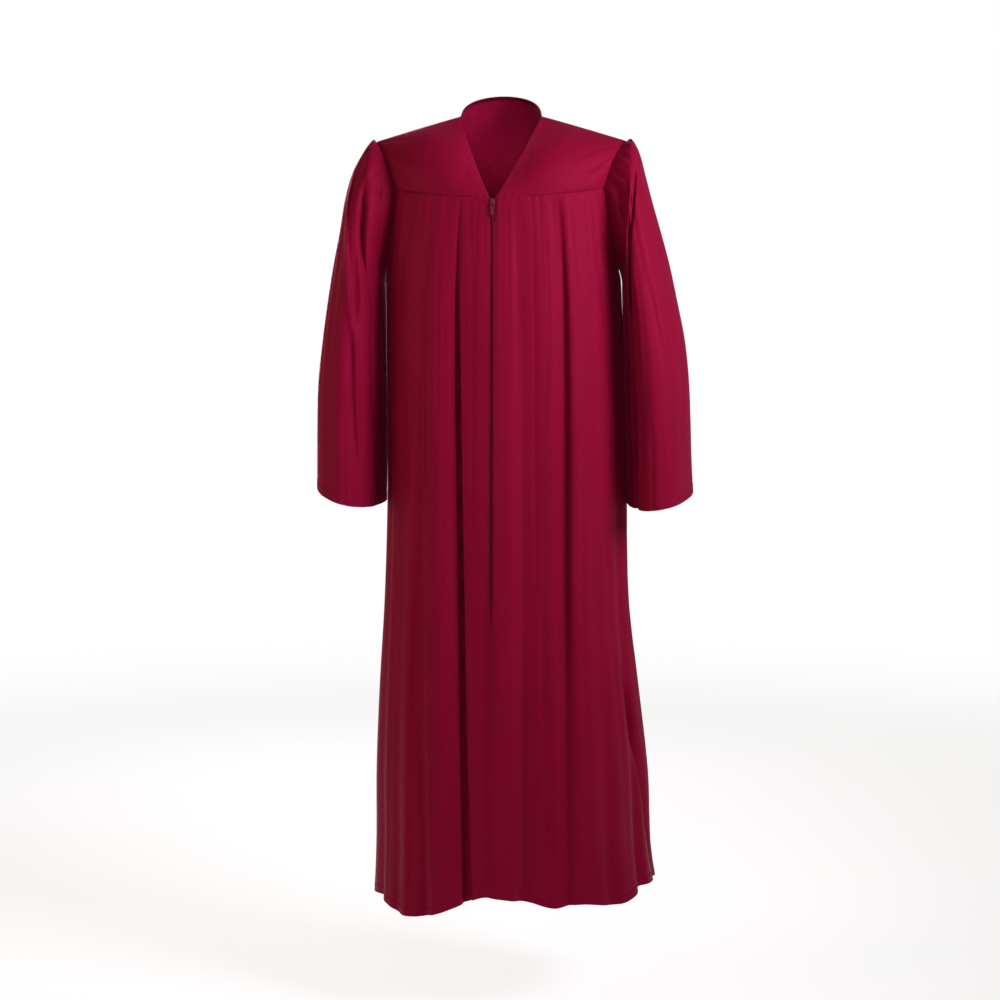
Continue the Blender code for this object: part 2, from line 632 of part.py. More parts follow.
def build_yokes(collection, cloth):
    across = np.concatenate([[0.0], np.linspace(VEE_BAND_SHARE, 1.0, YOKE_COLUMNS)])
    for name, side in (("front_yoke_right", RIGHT), ("front_yoke_left", LEFT)):
        grid = surface_grid(front_yoke_surface(side), across, yoke_rows())
        edges = ((TOP_EDGE, Y_AXIS), (BOTTOM_EDGE, Z_AXIS), (np.s_[1:, 0], X_AXIS))
        cloth_object(name, grid, collection, cloth, square_edges=edges)
    shoulder = np.linspace(0.0, SHOULDER_SHARE, BACK_YOKE_SHOULDER + 1)
    across = np.concatenate([shoulder, back_neck_columns()[1:], 1.0 - shoulder[-2::-1]])
    grid = surface_grid(back_yoke_surface, across, yoke_rows())
    right_shoulder = np.s_[0, : BACK_YOKE_SHOULDER + 1]
    left_shoulder = np.s_[0, -BACK_YOKE_SHOULDER - 1:]
    edges = ((right_shoulder, Y_AXIS), (left_shoulder, Y_AXIS), (BOTTOM_EDGE, Z_AXIS))
    cloth_object("back_yoke", grid, collection, cloth, square_edges=edges)


def build_sleeves(collection, cloth):
    right = sleeve_grid(RIGHT, RIGHT_SLEEVE_ROWS, RIGHT_SLEEVE_FOLDS)
    edges = ((TOP_EDGE, X_AXIS),)
    cloth_object("sleeve_right", right, collection, cloth, closed=True, square_edges=edges)
    left = sleeve_grid(LEFT, LEFT_SLEEVE_ROWS, LEFT_SLEEVE_FOLDS)
    cloth_object("sleeve_left", left, collection, cloth, closed=True, square_edges=edges)


def build_neck_bands(collection, cloth):
    under = -(WALL + SEAM_GAP)
    for name, side in (("neck_band_right", RIGHT), ("neck_band_left", LEFT)):
        across = [0.0, VEE_BAND_SHARE]
        down = np.concatenate([[BAND_START], yoke_rows()[1:]])
        grid = surface_grid(front_yoke_surface(side), across, down, under)
        cloth_object(name, grid, collection, cloth, BAND_WALL)
    grid = surface_grid(back_yoke_surface, back_neck_columns(), [0.0, BACK_BAND_SHARE], under)
    cloth_object("neck_band_back", grid, collection, cloth, BAND_WALL)


def tape_surface(side):
    def surface(across, down):
        z = SEAM_CENTRE_Z - SEAM_GAP + (hem_height(0.0) - SEAM_CENTRE_Z) * down
        from_zip = TAPE_EDGE + TAPE_WIDTH * across
        round_deg = side * np.degrees(np.arctan2(from_zip, -body_value("front_y", z)))
        run_in = 1.0 - np.exp(-(SEAM_CENTRE_Z - z) / FOLD_RUN_IN)
        return body_point(round_deg, z, run_in)

    return surface


def build_tapes(collection, cloth):
    end_share = (TAPE_END_Z - SEAM_CENTRE_Z) / (hem_height(0.0) - SEAM_CENTRE_Z)
    between = [share for share in PANEL_DOWN if 0.0 < share < end_share]
    down = [TAPE_START, *between, float(end_share)]
    for name, side in (("zip_tape_right", RIGHT), ("zip_tape_left", LEFT)):
        grid = surface_grid(tape_surface(side), [0.0, 0.5, 1.0], down, -TAPE_DEPTH)
        cloth_object(name, grid, collection, cloth, TAPE_WALL)


def add_block(name, size, place, collection, material):
    bpy.ops.mesh.primitive_cube_add(size=1.0)
    block = bpy.context.object
    block.name = name
    block.data.name = name
    for vertex in block.data.vertices:
        vertex.co = Vector(vertex.co[axis] * size[axis] for axis in range(3))
    for owner in list(block.users_collection):
        owner.objects.unlink(block)
    collection.objects.link(block)
    block.location = place
    block.data.materials.append(material)
    return block


def add_bevel(piece, width):
    bevel = piece.modifiers.new("soft edges", "BEVEL")
    bevel.width = width
    bevel.segments = BEVEL_STEPS
    bevel.limit_method = "ANGLE"


def add_union(piece, other):
    union = piece.modifiers.new("joined " + other.name, "BOOLEAN")
    union.operation = "UNION"
    union.solver = "EXACT"
    union.object = other


def hide_tool(tool):
    tool.hide_render = True
    tool.display_type = "WIRE"


def zip_seat(collection):
    """An empty on the tapes' front at the slider, turned to the slope of the chest."""
    above = -body_value("front_y", SLIDER_Z + SLOPE_STEP)
    below = -body_value("front_y", SLIDER_Z - SLOPE_STEP)
    slope = math.atan2(float(below - above), 2.0 * SLOPE_STEP)
    seat = bpy.data.objects.new("zip_seat", None)
    collection.objects.link(seat)
    seat.location = (CENTRE_X, float(body_value("front_y", SLIDER_Z)) + TAPE_DEPTH, SLIDER_Z)
    seat.rotation_euler = (-slope, 0.0, 0.0)
    return seat


def build_bridge(collection, material, front):
    """The low arch on the slider that holds the pull tab, as a welded mesh."""
    curve = bpy.data.curves.new("slider_bridge", "CURVE")
    curve.dimensions = "3D"
    curve.bevel_depth = BRIDGE_RADIUS
    curve.bevel_resolution = 2
    curve.use_fill_caps = True
    spline = curve.splines.new("POLY")
    spline.points.add(BRIDGE_STEPS)
    for index in range(BRIDGE_STEPS + 1):
        turn = math.pi * index / BRIDGE_STEPS
        rise = min(1.0, BRIDGE_FULLNESS * math.sin(turn))
        out = (BRIDGE_OUT + BRIDGE_SEAT) * rise - BRIDGE_SEAT
        spline.points[index].co = (0.0, front - out, BRIDGE_HALF * math.cos(turn), 1.0)
    tube = bpy.data.objects.new("slider_bridge_tube", curve)
    collection.objects.link(tube)
    bpy.context.view_layer.update()
    evaluated = tube.evaluated_get(bpy.context.evaluated_depsgraph_get())
    mesh = bpy.data.meshes.new_from_object(evaluated)
    bpy.data.objects.remove(tube, do_unlink=True)
    bm = bmesh.new()
    bm.from_mesh(mesh)
    bmesh.ops.remove_doubles(bm, verts=bm.verts, dist=MERGE_DISTANCE)
    bmesh.ops.recalc_face_normals(bm, faces=bm.faces)
    bm.to_mesh(mesh)
    bm.free()
    mesh.materials.append(material)
    bridge = bpy.data.objects.new("slider_bridge", mesh)
    collection.objects.link(bridge)
    return bridge


def build_slider(collection, tools, seat, material):
    thickness = SLIDER_SIZE[Y_AXIS]
    front_y = -SLIDER_ROOM - thickness / 2.0
    back_y = TAPE_WALL + SLIDER_ROOM / 2.0 + thickness / 2.0
    slider = add_block("zip_slider", SLIDER_SIZE, (0.0, front_y, 0.0), collection, material)
    add_bevel(slider, SLIDER_BEVEL)
    rear = add_block("slider_rear", SLIDER_SIZE, (0.0, back_y, 0.0), tools, material)
    add_bevel(rear, SLIDER_BEVEL)
    post_y = (front_y + back_y) / 2.0
    post_size = (POST_WIDTH, back_y - front_y, POST_HEIGHT)
    post = add_block("slider_post", post_size, (0.0, post_y, POST_RISE), tools, material)
    bridge = build_bridge(tools, material, front_y - thickness / 2.0)
    for tool in (rear, post, bridge):
        tool.parent = seat
        hide_tool(tool)
        add_union(slider, tool)
    slider.parent = seat
    return front_y - thickness / 2.0


def rounded_outline(spline, half, top, bottom, radius):
    """A rectangle with rounded corners in the curve's own plane."""
    corners = ((half, bottom, -90.0), (half, top, 0.0), (-half, top, 90.0), (-half, bottom, 180.0))
    points = []
    for x, z, start in corners:
        centre_x = x - math.copysign(radius, x)
        centre_z = z - radius if z == top else z + radius
        for step in range(CORNER_STEPS + 1):
            turn = math.radians(start + 90.0 * step / CORNER_STEPS)
            points.append((centre_x + radius * math.cos(turn), centre_z + radius * math.sin(turn)))
    spline.points.add(len(points) - 1)
    for point, (x, z) in zip(spline.points, points):
        point.co = (x, z, 0.0, 1.0)
    spline.use_cyclic_u = True


def build_pull_tab(collection, seat, material, slider_front):
    """The pull tab: a flat plate with an eye for the bridge, hanging from its upper bar."""
    curve = bpy.data.curves.new("zip_pull_tab", "CURVE")
    curve.dimensions = "2D"
    curve.fill_mode = "BOTH"
    curve.extrude = TAB_THICKNESS / 2.0
    outer = curve.splines.new("POLY")
    rounded_outline(outer, TAB_HALF, TAB_BAR, -TAB_LENGTH, TAB_HALF - TAB_EYE_HALF)
    eye = curve.splines.new("POLY")
    rounded_outline(eye, TAB_EYE_HALF, -TAB_BAR, -TAB_EYE_LENGTH, TAB_EYE_CORNER)
    curve.materials.append(material)
    tab = bpy.data.objects.new("zip_pull_tab", curve)
    collection.objects.link(tab)
    tab.parent = seat
    tab.location = (0.0, slider_front - TAB_AXIS_OUT, -TAB_AXIS_DROP)
    tab.rotation_euler = (math.pi / 2.0, 0.0, 0.0)
    return tab


def build_stop(collection, material):
    """The small metal stop across the two tapes where the zip ends."""
    tape_front = float(body_value("front_y", ZIP_END_Z)) + TAPE_DEPTH
    place = (CENTRE_X, tape_front - STOP_SIZE[1] / 2.0 - SEAM_GAP, ZIP_END_Z)
    stop = add_block("zip_bottom_stop", STOP_SIZE, place, collection, material)
    add_bevel(stop, SLIDER_BEVEL)


def main():
    clear_scene()
    collection = make_collection(COLLECTION_NAME)
    tools = make_collection(CUTTER_COLLECTION_NAME)
    cloth = make_material("gown_cloth")
    inside = make_material("inside_cloth")
    tape = make_material("zip_tape")
    metal = make_material("zip_metal")
    build_panels(collection, cloth)
    build_yokes(collection, cloth)
    build_sleeves(collection, cloth)
    build_neck_bands(collection, inside)
    build_tapes(collection, tape)
    seat = zip_seat(collection)
    slider_front = build_slider(collection, tools, seat, metal)
    build_pull_tab(collection, seat, metal, slider_front)
    build_stop(collection, metal)


main()
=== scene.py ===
import math

import bpy
import numpy as np
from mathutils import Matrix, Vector


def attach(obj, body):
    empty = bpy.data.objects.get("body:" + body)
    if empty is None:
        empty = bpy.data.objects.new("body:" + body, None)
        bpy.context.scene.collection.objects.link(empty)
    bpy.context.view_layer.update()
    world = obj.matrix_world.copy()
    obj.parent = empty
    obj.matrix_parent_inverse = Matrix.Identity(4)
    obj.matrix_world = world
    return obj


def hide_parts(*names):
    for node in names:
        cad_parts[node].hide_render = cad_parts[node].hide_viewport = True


# Graduation gown in dark red satin-matt polyester, filled out as worn.
# Metres, +Z up. The front faces -Y and the wearer's left is +X.

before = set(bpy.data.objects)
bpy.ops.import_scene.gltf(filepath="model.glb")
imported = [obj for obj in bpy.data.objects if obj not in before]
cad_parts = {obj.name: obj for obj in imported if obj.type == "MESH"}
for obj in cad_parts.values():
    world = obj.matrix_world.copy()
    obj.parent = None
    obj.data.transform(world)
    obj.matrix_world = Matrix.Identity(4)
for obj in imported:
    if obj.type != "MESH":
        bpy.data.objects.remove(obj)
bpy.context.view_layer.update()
print("frame loaded")

right, left = -1.0, 1.0

# Reading tables

def tableColumn(cut, name):
    return np.array([row[cut["columns"].index(name)] for row in cut["rows"]])


def smoothBetween(x, knots, values):
    # a smooth curve through values at rising knots; values may carry further axes
    slopes = np.gradient(values, knots, axis=0)
    x = np.clip(x, knots[0], knots[-1])
    index = np.clip(np.searchsorted(knots, x) - 1, 0, len(knots) - 2)
    width = knots[index + 1] - knots[index]
    t = (x - knots[index]) / width
    extra = (1,) * (np.ndim(values) - 1)
    width, t = width.reshape(np.shape(x) + extra), t.reshape(np.shape(x) + extra)
    start = values[index] + slopes[index] * width * t * (1.0 - t) ** 2
    end = (values[index + 1] - values[index]) * t * t * (3.0 - 2.0 * t)
    return start + end - slopes[index + 1] * width * t * t * (1.0 - t)


def smoothStep(x):
    x = np.clip(x, 0.0, 1.0)
    return x * x * (3.0 - 2.0 * x)


def throughThree(first, middle, last, t):
    return first * (1.0 - t) * (1.0 - 2.0 * t) + 4.0 * middle * t * (1.0 - t) + last * t * (2.0 * t - 1.0)


# The body's form: sections from the shoulders to the hem

body = {
    "centreX": -0.005,
    "roundness": 2.3,
    "columns": ("z", "rightX", "leftX", "frontY", "backY"),
    "rows": (
        (-0.030, -0.172, 0.177, -0.086, 0.090),
        (-0.115, -0.180, 0.185, -0.117, 0.112),
        (-0.240, -0.186, 0.192, -0.136, 0.126),
        (-0.400, -0.186, 0.198, -0.146, 0.128),
        (-0.620, -0.186, 0.204, -0.154, 0.132),
        (-0.790, -0.192, 0.208, -0.160, 0.139),
        (-0.920, -0.200, 0.223, -0.165, 0.146),
        (-1.060, -0.206, 0.239, -0.170, 0.153),
        (-1.190, -0.207, 0.248, -0.176, 0.160),
        (-1.290, -0.211, 0.264, -0.181, 0.166),
    ),
}

# Height of the hem's edge: 0 degrees is the zip, 90 the left side, -90 the right side
hem = {
    "columns": ("deg", "z"),
    "rows": (
        (-270.0, -1.247), (-235.0, -1.268), (-205.0, -1.280), (-180.0, -1.284),
        (-150.0, -1.281), (-120.0, -1.288), (-90.0, -1.276), (-68.0, -1.268),
        (-44.0, -1.285), (-30.0, -1.277), (-17.0, -1.261), (-4.0, -1.246),
        (8.0, -1.249), (20.0, -1.254), (31.0, -1.264), (42.0, -1.258),
        (60.0, -1.264), (75.0, -1.247), (90.0, -1.247),
    ),
}

# Pleats and large folds round the body. Each lies at three places, under the yoke, halfway and
# at the hem, with a depth at each, and has its own reach to its right and to its left, because a
# pleat turned one way is steeper on one side.
folds = {
    "columns": ("topDeg", "midDeg", "hemDeg", "topDepth", "midDepth", "hemDepth", "rightReach", "leftReach"),
    "rows": (
        (-74.0, -71.0, -67.0, 0.001, 0.005, 0.009, 0.017, 0.014),
        (-56.0, -55.0, -51.0, 0.001, 0.004, 0.006, 0.013, 0.012),
        (-42.0, -41.0, -33.0, 0.002, 0.006, 0.008, 0.019, 0.006),
        (-24.0, -19.0, -11.5, 0.003, 0.018, 0.018, 0.020, 0.0042),
        (-22.5, -17.5, -10.0, 0.002, 0.009, 0.009, 0.004, 0.045),
        (-1.2, -1.2, -1.2, 0.001, 0.0035, 0.003, 0.015, 0.003),
        (10.5, 9.0, 8.0, 0.001, 0.002, 0.004, 0.012, 0.009),
        (20.0, 19.0, 17.0, 0.003, 0.017, 0.015, 0.016, 0.075),
        (43.0, 42.0, 38.0, 0.005, 0.013, 0.008, 0.014, 0.0070),
        (59.0, 57.0, 56.0, 0.001, 0.003, 0.006, 0.012, 0.014),
        (74.0, 75.0, 73.0, 0.001, 0.005, 0.013, 0.015, 0.012),
        (-104.0, -103.0, -101.0, 0.001, 0.006, 0.009, 0.016, 0.012),
        (-119.0, -120.0, -121.0, 0.002, 0.008, 0.008, 0.014, 0.008),
        (-133.0, -134.0, -136.0, 0.003, 0.010, 0.011, 0.008, 0.014),
        (-146.0, -148.0, -149.0, 0.003, 0.007, 0.009, 0.014, 0.007),
        (-159.0, -160.0, -163.0, 0.003, 0.011, 0.010, 0.008, 0.013),
        (-172.0, -173.0, -175.0, 0.003, 0.009, 0.012, 0.012, 0.007),
        (-187.0, -186.0, -187.0, 0.003, 0.011, 0.010, 0.008, 0.014),
        (-201.0, -200.0, -199.0, 0.003, 0.008, 0.011, 0.012, 0.008),
        (-214.0, -212.0, -211.0, 0.003, 0.010, 0.008, 0.007, 0.014),
        (-227.0, -226.0, -224.0, 0.003, 0.007, 0.010, 0.012, 0.008),
        (-241.0, -240.0, -239.0, 0.002, 0.009, 0.009, 0.009, 0.015),
        (-256.0, -257.0, -258.0, 0.001, 0.006, 0.010, 0.016, 0.013),
    ),
    "runIn": 0.022,
    "fanShare": 0.4,
}

yoke = {
    "neckX": 0.065,
    "shoulderX": 0.203,
    "shoulderEndZ": -0.037,
    "shoulderCurve": 1.05,
    "neckPointZ": 0.003,
    "backNeckDepth": 0.062,
    "backNeckRise": 0.036,
    "backNeckPower": 0.8,
    "seamCentreZ": -0.1305,
    "seamEndZ": -0.1155,
    "armholeDeg": 72.0,
    "underarmZ": -0.245,
    "veeKnee": (0.050, -0.078, -0.045),
    "veeReach": 0.45,
    "kneeForward": 0.95,
    "kneeDrop": 0.016,
    "backKneeOut": 0.90,
    "neckKneeShare": 0.45,
    "shoulderShare": 0.29,
    "shoulderShareDeg": 34.0,
    "edgeRows": (0.0, 0.06, 0.248, 0.436, 0.624, 0.812, 1.0),
    "seamGap": 0.0003,
}

opening = {
    "columns": ("z", "halfWidth"),
    "rows": (
        (-1.300, 0.00015),
        (-0.810, 0.00015),
        (-0.771, 0.0022),
        (-0.190, 0.0022),
        (-0.150, 0.0046),
        (-0.120, 0.0046),
    ),
}


def bodyValue(name, z):
    return smoothBetween(z, tableColumn(body, "z")[::-1], tableColumn(body, name)[::-1])


def hemHeight(deg):
    return smoothBetween(deg, tableColumn(hem, "deg"), tableColumn(hem, "z"))


def seamHeight(deg):
    # the yoke seam rises from the zip and the centre back to the armholes
    fromMiddle = np.minimum(np.abs(deg), np.abs(np.abs(deg) - 180.0))
    rise = (fromMiddle / yoke["armholeDeg"]) ** 2
    return yoke["seamCentreZ"] + (yoke["seamEndZ"] - yoke["seamCentreZ"]) * rise


def openingHalf(z):
    return np.interp(z, tableColumn(opening, "z"), tableColumn(opening, "halfWidth"))


def foldDepth(deg, z, radius):
    top = yoke["seamCentreZ"]
    t = np.clip((z - top) / (hemHeight(deg) - top), 0.0, 1.0)
    total = np.zeros_like(t)
    for row in folds["rows"]:
        fold = dict(zip(folds["columns"], row))
        place = throughThree(fold["topDeg"], fold["midDeg"], fold["hemDeg"], t)
        depth = throughThree(fold["topDepth"], fold["midDepth"], fold["hemDepth"], t)
        away = np.radians(deg - place) * radius
        reach = np.where(away < 0.0, fold["rightReach"], fold["leftReach"])
        total += depth * np.exp(-(away / reach) ** 2)
    return total


def runInBelow(topZ, z):
    # pleats start from nothing at a seam and have their full depth a little below it
    return 1.0 - np.exp(-(topZ - z) / folds["runIn"])


def bodyPoint(deg, z, runIn=1.0):
    deg, z, runIn = np.broadcast_arrays(deg, z, runIn)
    sine, cosine = np.sin(np.radians(deg)), np.cos(np.radians(deg))
    centre, power = body["centreX"], body["roundness"]
    halfX = np.where(sine < 0.0, centre - bodyValue("rightX", z), bodyValue("leftX", z) - centre)
    halfY = np.where(cosine > 0.0, -bodyValue("frontY", z), bodyValue("backY", z))
    across, along = np.abs(sine) / halfX, np.abs(cosine) / halfY
    radius = (across ** power + along ** power) ** (-1.0 / power)
    outX = np.sign(sine) * across ** (power - 1.0) / halfX
    outY = -np.sign(cosine) * along ** (power - 1.0) / halfY
    inward = foldDepth(deg, z, radius) * runIn / np.hypot(outX, outY)
    return np.stack([centre + radius * sine - inward * outX, -radius * cosine - inward * outY, z], axis=-1)


# The panels and yokes as surfaces of two shares: across from the first edge, and down

def armholeQuarter(share):
    # degrees past the armhole's start and height, from the yoke seam (0) to the underarm (1)
    turn = np.clip(share, 0.0, 1.0) * math.pi / 2.0
    height = yoke["seamEndZ"] + (yoke["underarmZ"] - yoke["seamEndZ"]) * np.sin(turn)
    return (90.0 - yoke["armholeDeg"]) * (1.0 - np.cos(turn)), height


def panelPlace(topDeg, topZ, hemDeg, down):
    fan = smoothStep(down / folds["fanShare"])
    deg = topDeg + (hemDeg - topDeg) * fan
    z = topZ + (hemHeight(hemDeg) - topZ) * down
    return deg, z, runInBelow(topZ, z)


frontSeamShare = 26.0 / 32.0  # the part of a front panel's top that is in the yoke seam
backArmholeShare = 6.0 / 50.0  # the part of the back panel's top in each armhole


def frontPanelPlace(side):
    def place(across, down):
        onSeam = np.clip(across / frontSeamShare, None, 1.0)
        extraDeg, armholeZ = armholeQuarter((across - frontSeamShare) / (1.0 - frontSeamShare))
        edgeZ = yoke["seamCentreZ"] + (hemHeight(0.0) - yoke["seamCentreZ"]) * down
        edgeDeg = np.degrees(np.arctan2(openingHalf(edgeZ), -bodyValue("frontY", edgeZ)))
        topDeg = edgeDeg + (yoke["armholeDeg"] - edgeDeg) * onSeam + extraDeg
        topZ = np.where(across <= frontSeamShare, seamHeight(topDeg), armholeZ) - yoke["seamGap"] / 2.0
        return panelPlace(side * topDeg, topZ, side * (edgeDeg + (90.0 - edgeDeg) * across), down)
    return place


def backPanelPlace(across, down):
    share, armholeDeg = backArmholeShare, yoke["armholeDeg"]
    nearSide = np.minimum(across, 1.0 - across)
    extraDeg, armholeZ = armholeQuarter(1.0 - nearSide / share)
    onSeam = 90.0 - armholeDeg + (nearSide - share) / (0.5 - share) * armholeDeg
    fromSide = np.where(nearSide < share, 90.0 - armholeDeg - extraDeg, onSeam)
    topDeg = -90.0 - np.where(across < 0.5, fromSide, 180.0 - fromSide)
    topZ = np.where(nearSide >= share, seamHeight(topDeg), armholeZ) - yoke["seamGap"] / 2.0
    return panelPlace(topDeg, topZ, -90.0 - 180.0 * across, down)


def shoulderHeight(x):
    share = np.clip((np.abs(x) - yoke["neckX"]) / (yoke["shoulderX"] - yoke["neckX"]), 0.0, None)
    fall = yoke["shoulderEndZ"] - yoke["neckPointZ"]
    return yoke["neckPointZ"] + fall * share ** yoke["shoulderCurve"]


def bend(start, knee, end, t):
    t = t[..., None]
    return start * (1.0 - t) ** 2 + 2.0 * knee * t * (1.0 - t) + end * t * t


def frontYokeSurface(side):
    def surface(across, down):
        across, down = np.broadcast_arrays(across, down)
        shoulderX = side * (yoke["neckX"] + (yoke["shoulderX"] - yoke["neckX"]) * across)
        forward = np.full_like(shoulderX, -yoke["seamGap"] / 2.0)
        start = np.stack([shoulderX, forward, shoulderHeight(shoulderX)], axis=-1)
        frontY = bodyValue("frontY", yoke["seamCentreZ"])
        edgeDeg = np.degrees(np.arctan2(openingHalf(yoke["seamCentreZ"]), -frontY))
        deg = side * (edgeDeg + (yoke["armholeDeg"] - edgeDeg) * across)
        end = bodyPoint(deg, seamHeight(deg) + yoke["seamGap"] / 2.0, 0.0)
        knee = np.stack([(start[..., 0] + end[..., 0]) / 2.0, end[..., 1] * yoke["kneeForward"],
                         start[..., 2] - yoke["kneeDrop"]], axis=-1)
        veeKnee = np.array(yoke["veeKnee"]) * (side, 1.0, 1.0)
        nearVee = 1.0 - smoothStep(across / yoke["veeReach"])
        return bend(start, knee + (veeKnee - knee) * nearVee[..., None], end, down)
    return surface


def backYokeSurface(across, down):
    across, down = np.broadcast_arrays(across, down)
    nearSide, share = np.minimum(across, 1.0 - across), yoke["shoulderShare"]
    side = np.where(across < 0.5, right, left)
    onShoulder = np.clip(nearSide / share, None, 1.0)
    roundNeck = np.clip((nearSide - share) / (0.5 - share), 0.0, 1.0) * math.pi / 2.0
    shoulderX = yoke["shoulderX"] - (yoke["shoulderX"] - yoke["neckX"]) * onShoulder
    startX = np.where(nearSide < share, shoulderX, yoke["neckX"] * np.cos(roundNeck))
    startY = yoke["seamGap"] / 2.0 + yoke["backNeckDepth"] * np.sin(roundNeck)
    neckZ = yoke["neckPointZ"] + yoke["backNeckRise"] * np.sin(roundNeck) ** yoke["backNeckPower"]
    startZ = np.where(nearSide < share, shoulderHeight(shoulderX), neckZ)
    start = np.stack([side * startX, startY, startZ], axis=-1)
    neckDeg = yoke["armholeDeg"] - yoke["shoulderShareDeg"]
    fromArmhole = onShoulder * yoke["shoulderShareDeg"] + roundNeck / (math.pi / 2.0) * neckDeg
    turn = 180.0 - yoke["armholeDeg"] + fromArmhole
    deg = np.where(across < 0.5, -turn, -360.0 + turn)
    end = bodyPoint(deg, seamHeight(deg) + yoke["seamGap"] / 2.0, 0.0)
    kneeRise = np.where(start[..., 2] > 0.0, yoke["neckKneeShare"], 1.0)
    knee = np.stack([(start[..., 0] + end[..., 0]) / 2.0, end[..., 1] * yoke["backKneeOut"],
                     start[..., 2] * kneeRise - yoke["kneeDrop"]], axis=-1)
    return bend(start, knee, end, down)


# Soft creases laid on a surface. Each runs from one place to another, with a sideways bow, a
# half width, a depth (a ridge where it is negative) and a skew that makes one side steeper.
creaseColumns = ("s0", "t0", "s1", "t1", "bow", "width", "depth", "skew")
creaseFade = {"start": 0.25, "end": 0.3}


def creaseDepth(rows, s, t, scale):
    total = np.zeros_like(s)
    for row in rows:
        crease = dict(zip(creaseColumns, row))
        startS, startT = crease["s0"] * scale[0], crease["t0"] * scale[1]
        runS, runT = crease["s1"] * scale[0] - startS, crease["t1"] * scale[1] - startT
        length = math.hypot(runS, runT)
        offS, offT = s * scale[0] - startS, t * scale[1] - startT
        along = (offS * runS + offT * runT) / length ** 2
        aside = (offT * runS - offS * runT) / length - crease["bow"] * 4.0 * along * (1.0 - along)
        width = crease["width"] * np.where(aside < 0.0, 1.0 - crease["skew"], 1.0 + crease["skew"])
        taper = smoothStep(along / creaseFade["start"]) * smoothStep((1.0 - along) / creaseFade["end"])
        total += crease["depth"] * np.exp(-(aside / width) ** 2) * taper
    return total


def outwardOf(grid, closed=False):
    downwards = np.gradient(grid, axis=0)
    if closed:
        sideways = np.roll(grid, -1, axis=1) - np.roll(grid, 1, axis=1)
        middle = grid.mean(axis=1, keepdims=True)
    else:
        sideways = np.gradient(grid, axis=1)
        middle = np.array([body["centreX"], 0.0, 0.0])
    outward = np.cross(downwards, sideways)
    outward /= np.linalg.norm(outward, axis=-1, keepdims=True)
    return outward if np.mean((outward * (grid - middle))[..., :2]) > 0.0 else -outward


def lengthsDown(grid):
    steps = np.linalg.norm(np.diff(grid, axis=0), axis=-1)
    return np.concatenate([np.zeros((1, grid.shape[1])), np.cumsum(steps, axis=0)])


def lengthsAcross(grid):
    return lengthsDown(grid.transpose(1, 0, 2)).T


# What sewing does near an edge: the cloth rolls into a seam, and a turned hem is held by a row
# of stitches that sinks in and puckers the cloth a little.
sewing = {
    "rollDepth": 0.0009,
    "rollReach": 0.0020,
    "tuckDepth": 0.0020,
    "tuckWidth": 0.0020,
    "hemWidth": 0.0145,
    "hemGroove": 0.00045,
    "hemGrooveReach": 0.0018,
    "hemSwell": 0.0003,
    "puckerDepth": 0.00035,
    "puckerPitch": 0.0115,
    "puckerReach": 0.007,
    "puckerShift": 2.1,
    "puckerShiftRate": 31.0,
    "puckerEven": 0.6,
    "puckerEvenRate": 17.0,
    "hemFold": 0.002,
}


# Where rows of stitches lie, from an edge, and how far the thread stands out
stitchRows = {"yokeAbove": 0.0030, "neckFromEdge": 0.0060, "proud": 0.00012, "zipEndZ": -0.795}

# Sets the puckers of one row of stitches apart from those of another
rowPhase = {"yokeSeam": 0.4, "hem": 1.3, "zip": 2.2, "yoke": 0.9, "cuff": 2.6}


def rollIn(distance):
    return sewing["rollDepth"] * np.exp(-(distance / sewing["rollReach"]) ** 2)


def tuckUnder(grid, outward):
    # a seam allowance: one more row above the first, turned in behind the piece it is sewn to
    above = (grid[0] - grid[1]) / np.linalg.norm(grid[0] - grid[1], axis=-1, keepdims=True)
    allowance = grid[0] + above * sewing["tuckWidth"] - outward[0] * sewing["tuckDepth"]
    return np.concatenate([allowance[None], grid])


def puckers(along, distance, phase):
    # uneven in pitch and height, as fed by hand; the phase sets one row apart from another
    shift = sewing["puckerShift"] * np.sin(along * sewing["puckerShiftRate"] + phase)
    wave = np.sin(2.0 * math.pi * along / sewing["puckerPitch"] + shift)
    rise = np.sin(along * sewing["puckerEvenRate"] + 1.7 * phase)
    swell = sewing["puckerEven"] + (1.0 - sewing["puckerEven"]) * rise
    return sewing["puckerDepth"] * wave * swell * np.exp(-(distance / sewing["puckerReach"]) ** 2)


def hemmed(along, distance, phase):
    # inward depth near a hem's edge; distance is measured up from the edge
    groove = sewing["hemGroove"] * np.exp(-((distance - sewing["hemWidth"]) / sewing["hemGrooveReach"]) ** 2)
    turned = sewing["hemSwell"] * smoothStep((sewing["hemWidth"] - distance) / sewing["hemFold"])
    return groove - turned + puckers(along, distance - sewing["hemWidth"], phase)


# Objects and node trees

def addObject(name, data):
    thing = bpy.data.objects.new(name, data)
    bpy.context.scene.collection.objects.link(thing)
    return thing


def finishedMesh(source, name):
    # the mesh with its modifiers worked in; the object that carried them goes
    bpy.context.view_layer.update()
    mesh = bpy.data.meshes.new_from_object(source.evaluated_get(bpy.context.evaluated_depsgraph_get()))
    bpy.data.objects.remove(source)
    mesh.name = name
    return mesh


def addNode(tree, kind, **settings):
    node = tree.nodes.new(kind)
    for name, value in settings.items():
        setattr(node, name, value)
    return node


def setInputs(node, **values):
    for name, value in values.items():
        node.inputs[name.replace("_", " ")].default_value = value


def calculate(tree, operation, first, second=0.0):
    node = addNode(tree, "ShaderNodeMath", operation=operation)
    for socket, value in zip(node.inputs, (first, second)):
        if isinstance(value, (int, float)):
            socket.default_value = value
        else:
            tree.links.new(value, socket)
    return node.outputs[0]


# Materials

